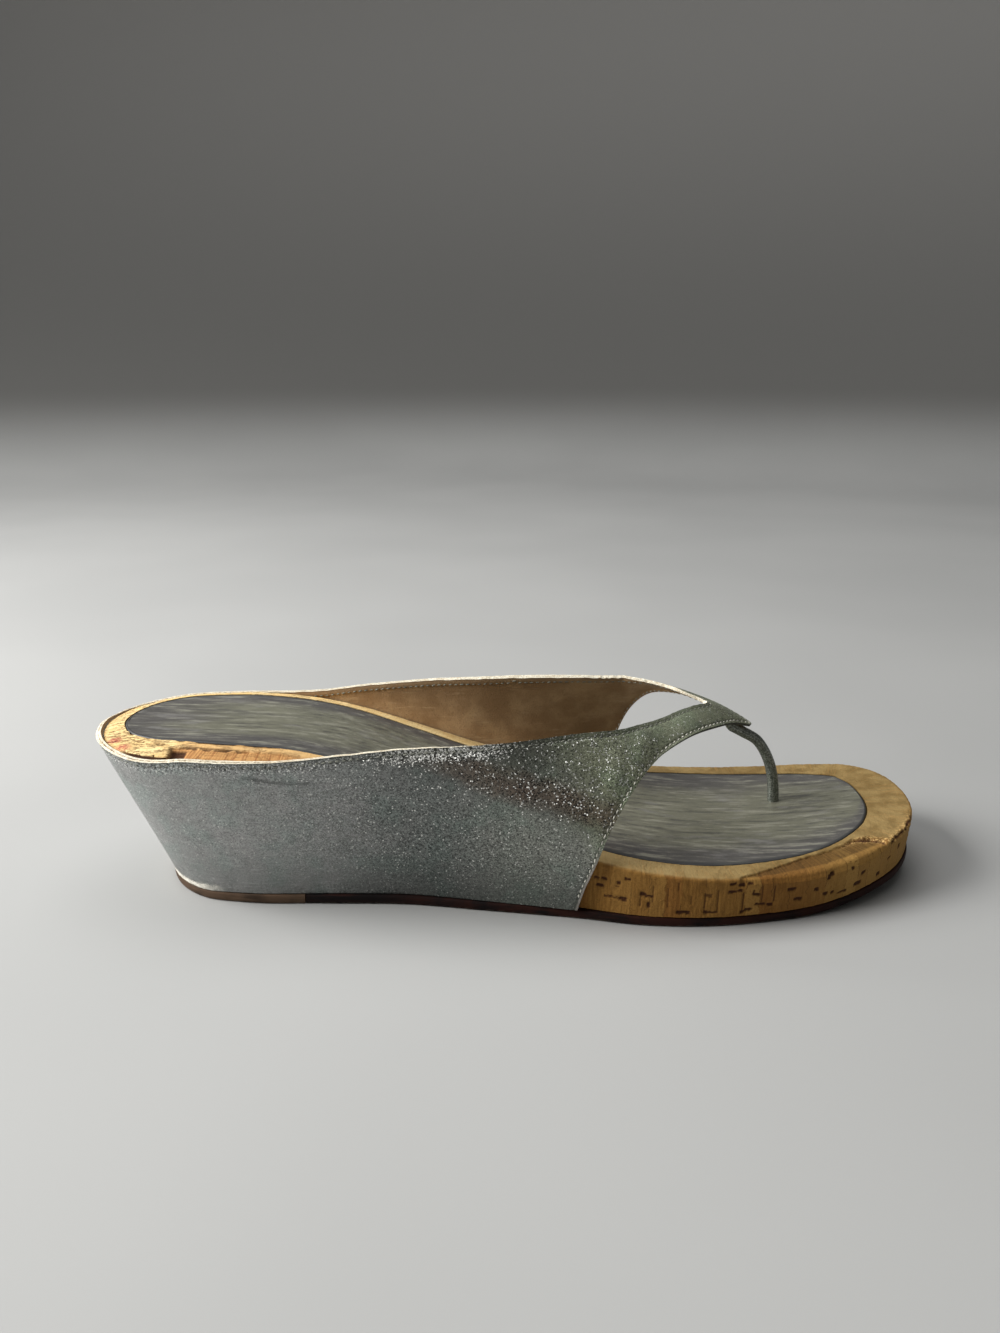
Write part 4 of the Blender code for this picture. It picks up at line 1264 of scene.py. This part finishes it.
# Toe post: a strip of the same leather rolled round a cord. It is sewn in under the point of the V
# and goes down between the toes into the footbed.

POST_ROUTE = np.array((
    (62.5, 6.9, 45.4),
    (67.5, 7.5, 42.6),
    (72.0, 7.9, 40.1),
    (77.5, 8.8, 36.3),
    (81.8, 9.8, 28.8),
    (83.8, 10.3, 20.0),
    (84.2, 10.4, 10.0),
))
POST_RADIUS = 1.7
POST_SIDES = 28
POST_STEPS = 90


def post_points():
    """Rings down the post, flat where it is sewn in and round below, with the lap of the strip."""
    knots = np.arange(len(POST_ROUTE), dtype=float)
    route = smooth(knots, POST_ROUTE, np.linspace(0, knots[-1], POST_STEPS + 1))
    along = unit(np.gradient(route, axis=0))
    side = unit(np.cross(along, (0.0, -1.0, 0.0)))
    third = np.cross(along, side)
    angle = np.linspace(0, 2 * np.pi, POST_SIDES * 2 + 1)
    overlap = 1 - 0.10 * hump(angle - 4.4, 0.10)
    swell = 1 + 0.03 * np.sin(np.linspace(0, 9, POST_STEPS + 1))
    size = POST_RADIUS * overlap[None, :] * swell[:, None]
    flat = 0.12 + 0.88 * step(np.linspace(0, 1, POST_STEPS + 1), 0.0, 0.22)
    route -= side * (POST_RADIUS * (1 - flat))[:, None]
    up = side[:, None] * flat[:, None, None]
    ring = up * np.cos(angle)[None, :, None] + third[:, None] * np.sin(angle)[None, :, None]
    rows = route[:, None] + ring * size[..., None]
    ends = [np.broadcast_to(end, rows[0].shape) for end in (route[0], route[-1])]
    return np.concatenate([ends[:1], rows, ends[1:]])


def post_finish():
    """Foil leather creased along the post by the toes."""
    material, nodes = new_finish("rolled pewter leather")
    place = on_last(nodes)
    flakes = mottle(place, 2.1, 3.0)
    creased = mottle(stretched(place, (1.1, 1.1, 0.3)), 1.0, 3.0)
    colour = mix(ease(flakes, 0.36, 0.64), (0.110, 0.122, 0.106), (0.330, 0.352, 0.315))
    colour = mix(ease(creased, 0.56, 0.70) * 0.5, colour, (0.070, 0.070, 0.065))
    relief = bumps(flakes * 0.5 + creased * 0.5, 0.2)
    rough = 0.26 + 0.2 * flakes
    paint(nodes, {"Base Color": colour, "Metallic": 0.8, "Roughness": rough, "Normal": relief})
    return material


post_mesh = lay_grid(post_points())
weld(post_mesh)
post = make_piece("toe_post_leather", post_mesh, post_finish())
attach(post, "root")
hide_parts("toe_post")


# Stage: a seamless bowl with a pale floor and its wall painted darker as shade, wide soft light
# from a window on the heel side and from above, and the camera low in front of the outer side.

FLOOR_RADIUS, FLOOR_BEND, WALL_TOP = 1.0, 0.7, 3.2
CAMERA_PLACE = (-0.00416, -0.28932, 0.1525)
CAMERA_TILT = np.radians(90 - 17.01)
CAMERA_LENS = 27.41

stage_mesh = bmesh.new()
profile = [(0.0, 0.0), (0.5, 0.0), (FLOOR_RADIUS, 0.0)]
for turned in np.linspace(0, np.pi / 2, 13)[1:]:
    profile.append((FLOOR_RADIUS + FLOOR_BEND * np.sin(turned), FLOOR_BEND * (1 - np.cos(turned))))
profile.append((FLOOR_RADIUS + FLOOR_BEND, WALL_TOP))
verts = [stage_mesh.verts.new((0.0, reach, rise)) for reach, rise in profile]
edges = [stage_mesh.edges.new(pair) for pair in zip(verts, verts[1:])]
bmesh.ops.spin(
    stage_mesh, geom=verts + edges, cent=(0, 0, 0), axis=(0, 0, 1),
    angle=2 * np.pi, steps=96, use_merge=True,
)
bmesh.ops.remove_doubles(stage_mesh, verts=stage_mesh.verts, dist=1e-5)
bmesh.ops.recalc_face_normals(stage_mesh, faces=stage_mesh.faces)
if min(stage_mesh.faces, key=lambda face: face.calc_center_median().z).normal.z < 0:
    bmesh.ops.reverse_faces(stage_mesh, faces=stage_mesh.faces)
backdrop_mesh = bpy.data.meshes.new("backdrop")
stage_mesh.to_mesh(backdrop_mesh)
stage_mesh.free()
backdrop_mesh.shade_smooth()
backdrop = bpy.data.objects.new("backdrop", backdrop_mesh)
bpy.context.scene.collection.objects.link(backdrop)
paper, paper_nodes = new_finish("pale paper")
paper_place = on_last(paper_nodes)
paper_tone = mottle(paper_place, 0.004, 2.0)
paper_floor = mix(ease(paper_tone, 0.3, 0.7), (0.385, 0.388, 0.383), (0.415, 0.418, 0.412))
paper_height = part_of(paper_place, "Z")
# Painted shade: the wall of the bowl is darker than the floor, darkest a little above it.
paper_wall_painted_shade = mix(ease(paper_height, 150.0, 800.0), (0.150, 0.149, 0.143), (0.260, 0.256, 0.248))
paint(paper_nodes, {
    "Base Color": mix(ease(paper_height, 0.0, 110.0), paper_floor, paper_wall_painted_shade),
    "Roughness": 0.75, "Specular IOR Level": 0.25,
})
backdrop_mesh.materials.append(paper)


def soft_light(name, place, aim, size, power, colour):
    """A rectangle of even light that faces a place on the shoe."""
    light = bpy.data.lights.new(name, "AREA")
    light.shape = "RECTANGLE"
    light.size, light.size_y = size
    light.energy = power
    light.color = colour
    lamp = bpy.data.objects.new(name, light)
    bpy.context.scene.collection.objects.link(lamp)
    lamp.location = place
    lamp.rotation_euler = (Vector(aim) - Vector(place)).to_track_quat("-Z", "Y").to_euler()


soft_light("window", (-0.95, -0.05, 0.62), (0.0, 0.0, 0.03), (0.75, 0.6), 22.0, (1.0, 0.99, 0.97))
soft_light("ceiling", (-0.15, 0.35, 1.45), (0.0, 0.0, 0.0), (1.5, 1.2), 12.0, (1.0, 1.0, 1.0))
world = bpy.data.worlds.new("room")
world.use_nodes = True
world.node_tree.nodes["Background"].inputs["Color"].default_value = (0.30, 0.30, 0.29, 1.0)
world.node_tree.nodes["Background"].inputs["Strength"].default_value = 0.6
bpy.context.scene.world = world
bpy.context.scene.view_settings.view_transform = "Standard"

camera_data = bpy.data.cameras.new("camera")
camera_data.lens = CAMERA_LENS
camera_data.sensor_width = 36.0
camera_data.clip_start = 0.01
camera = bpy.data.objects.new("camera", camera_data)
camera.location = CAMERA_PLACE
camera.rotation_euler = (CAMERA_TILT, 0.0, 0.0)
bpy.context.scene.collection.objects.link(camera)
bpy.context.scene.camera = camera

bpy.context.view_layer.update()
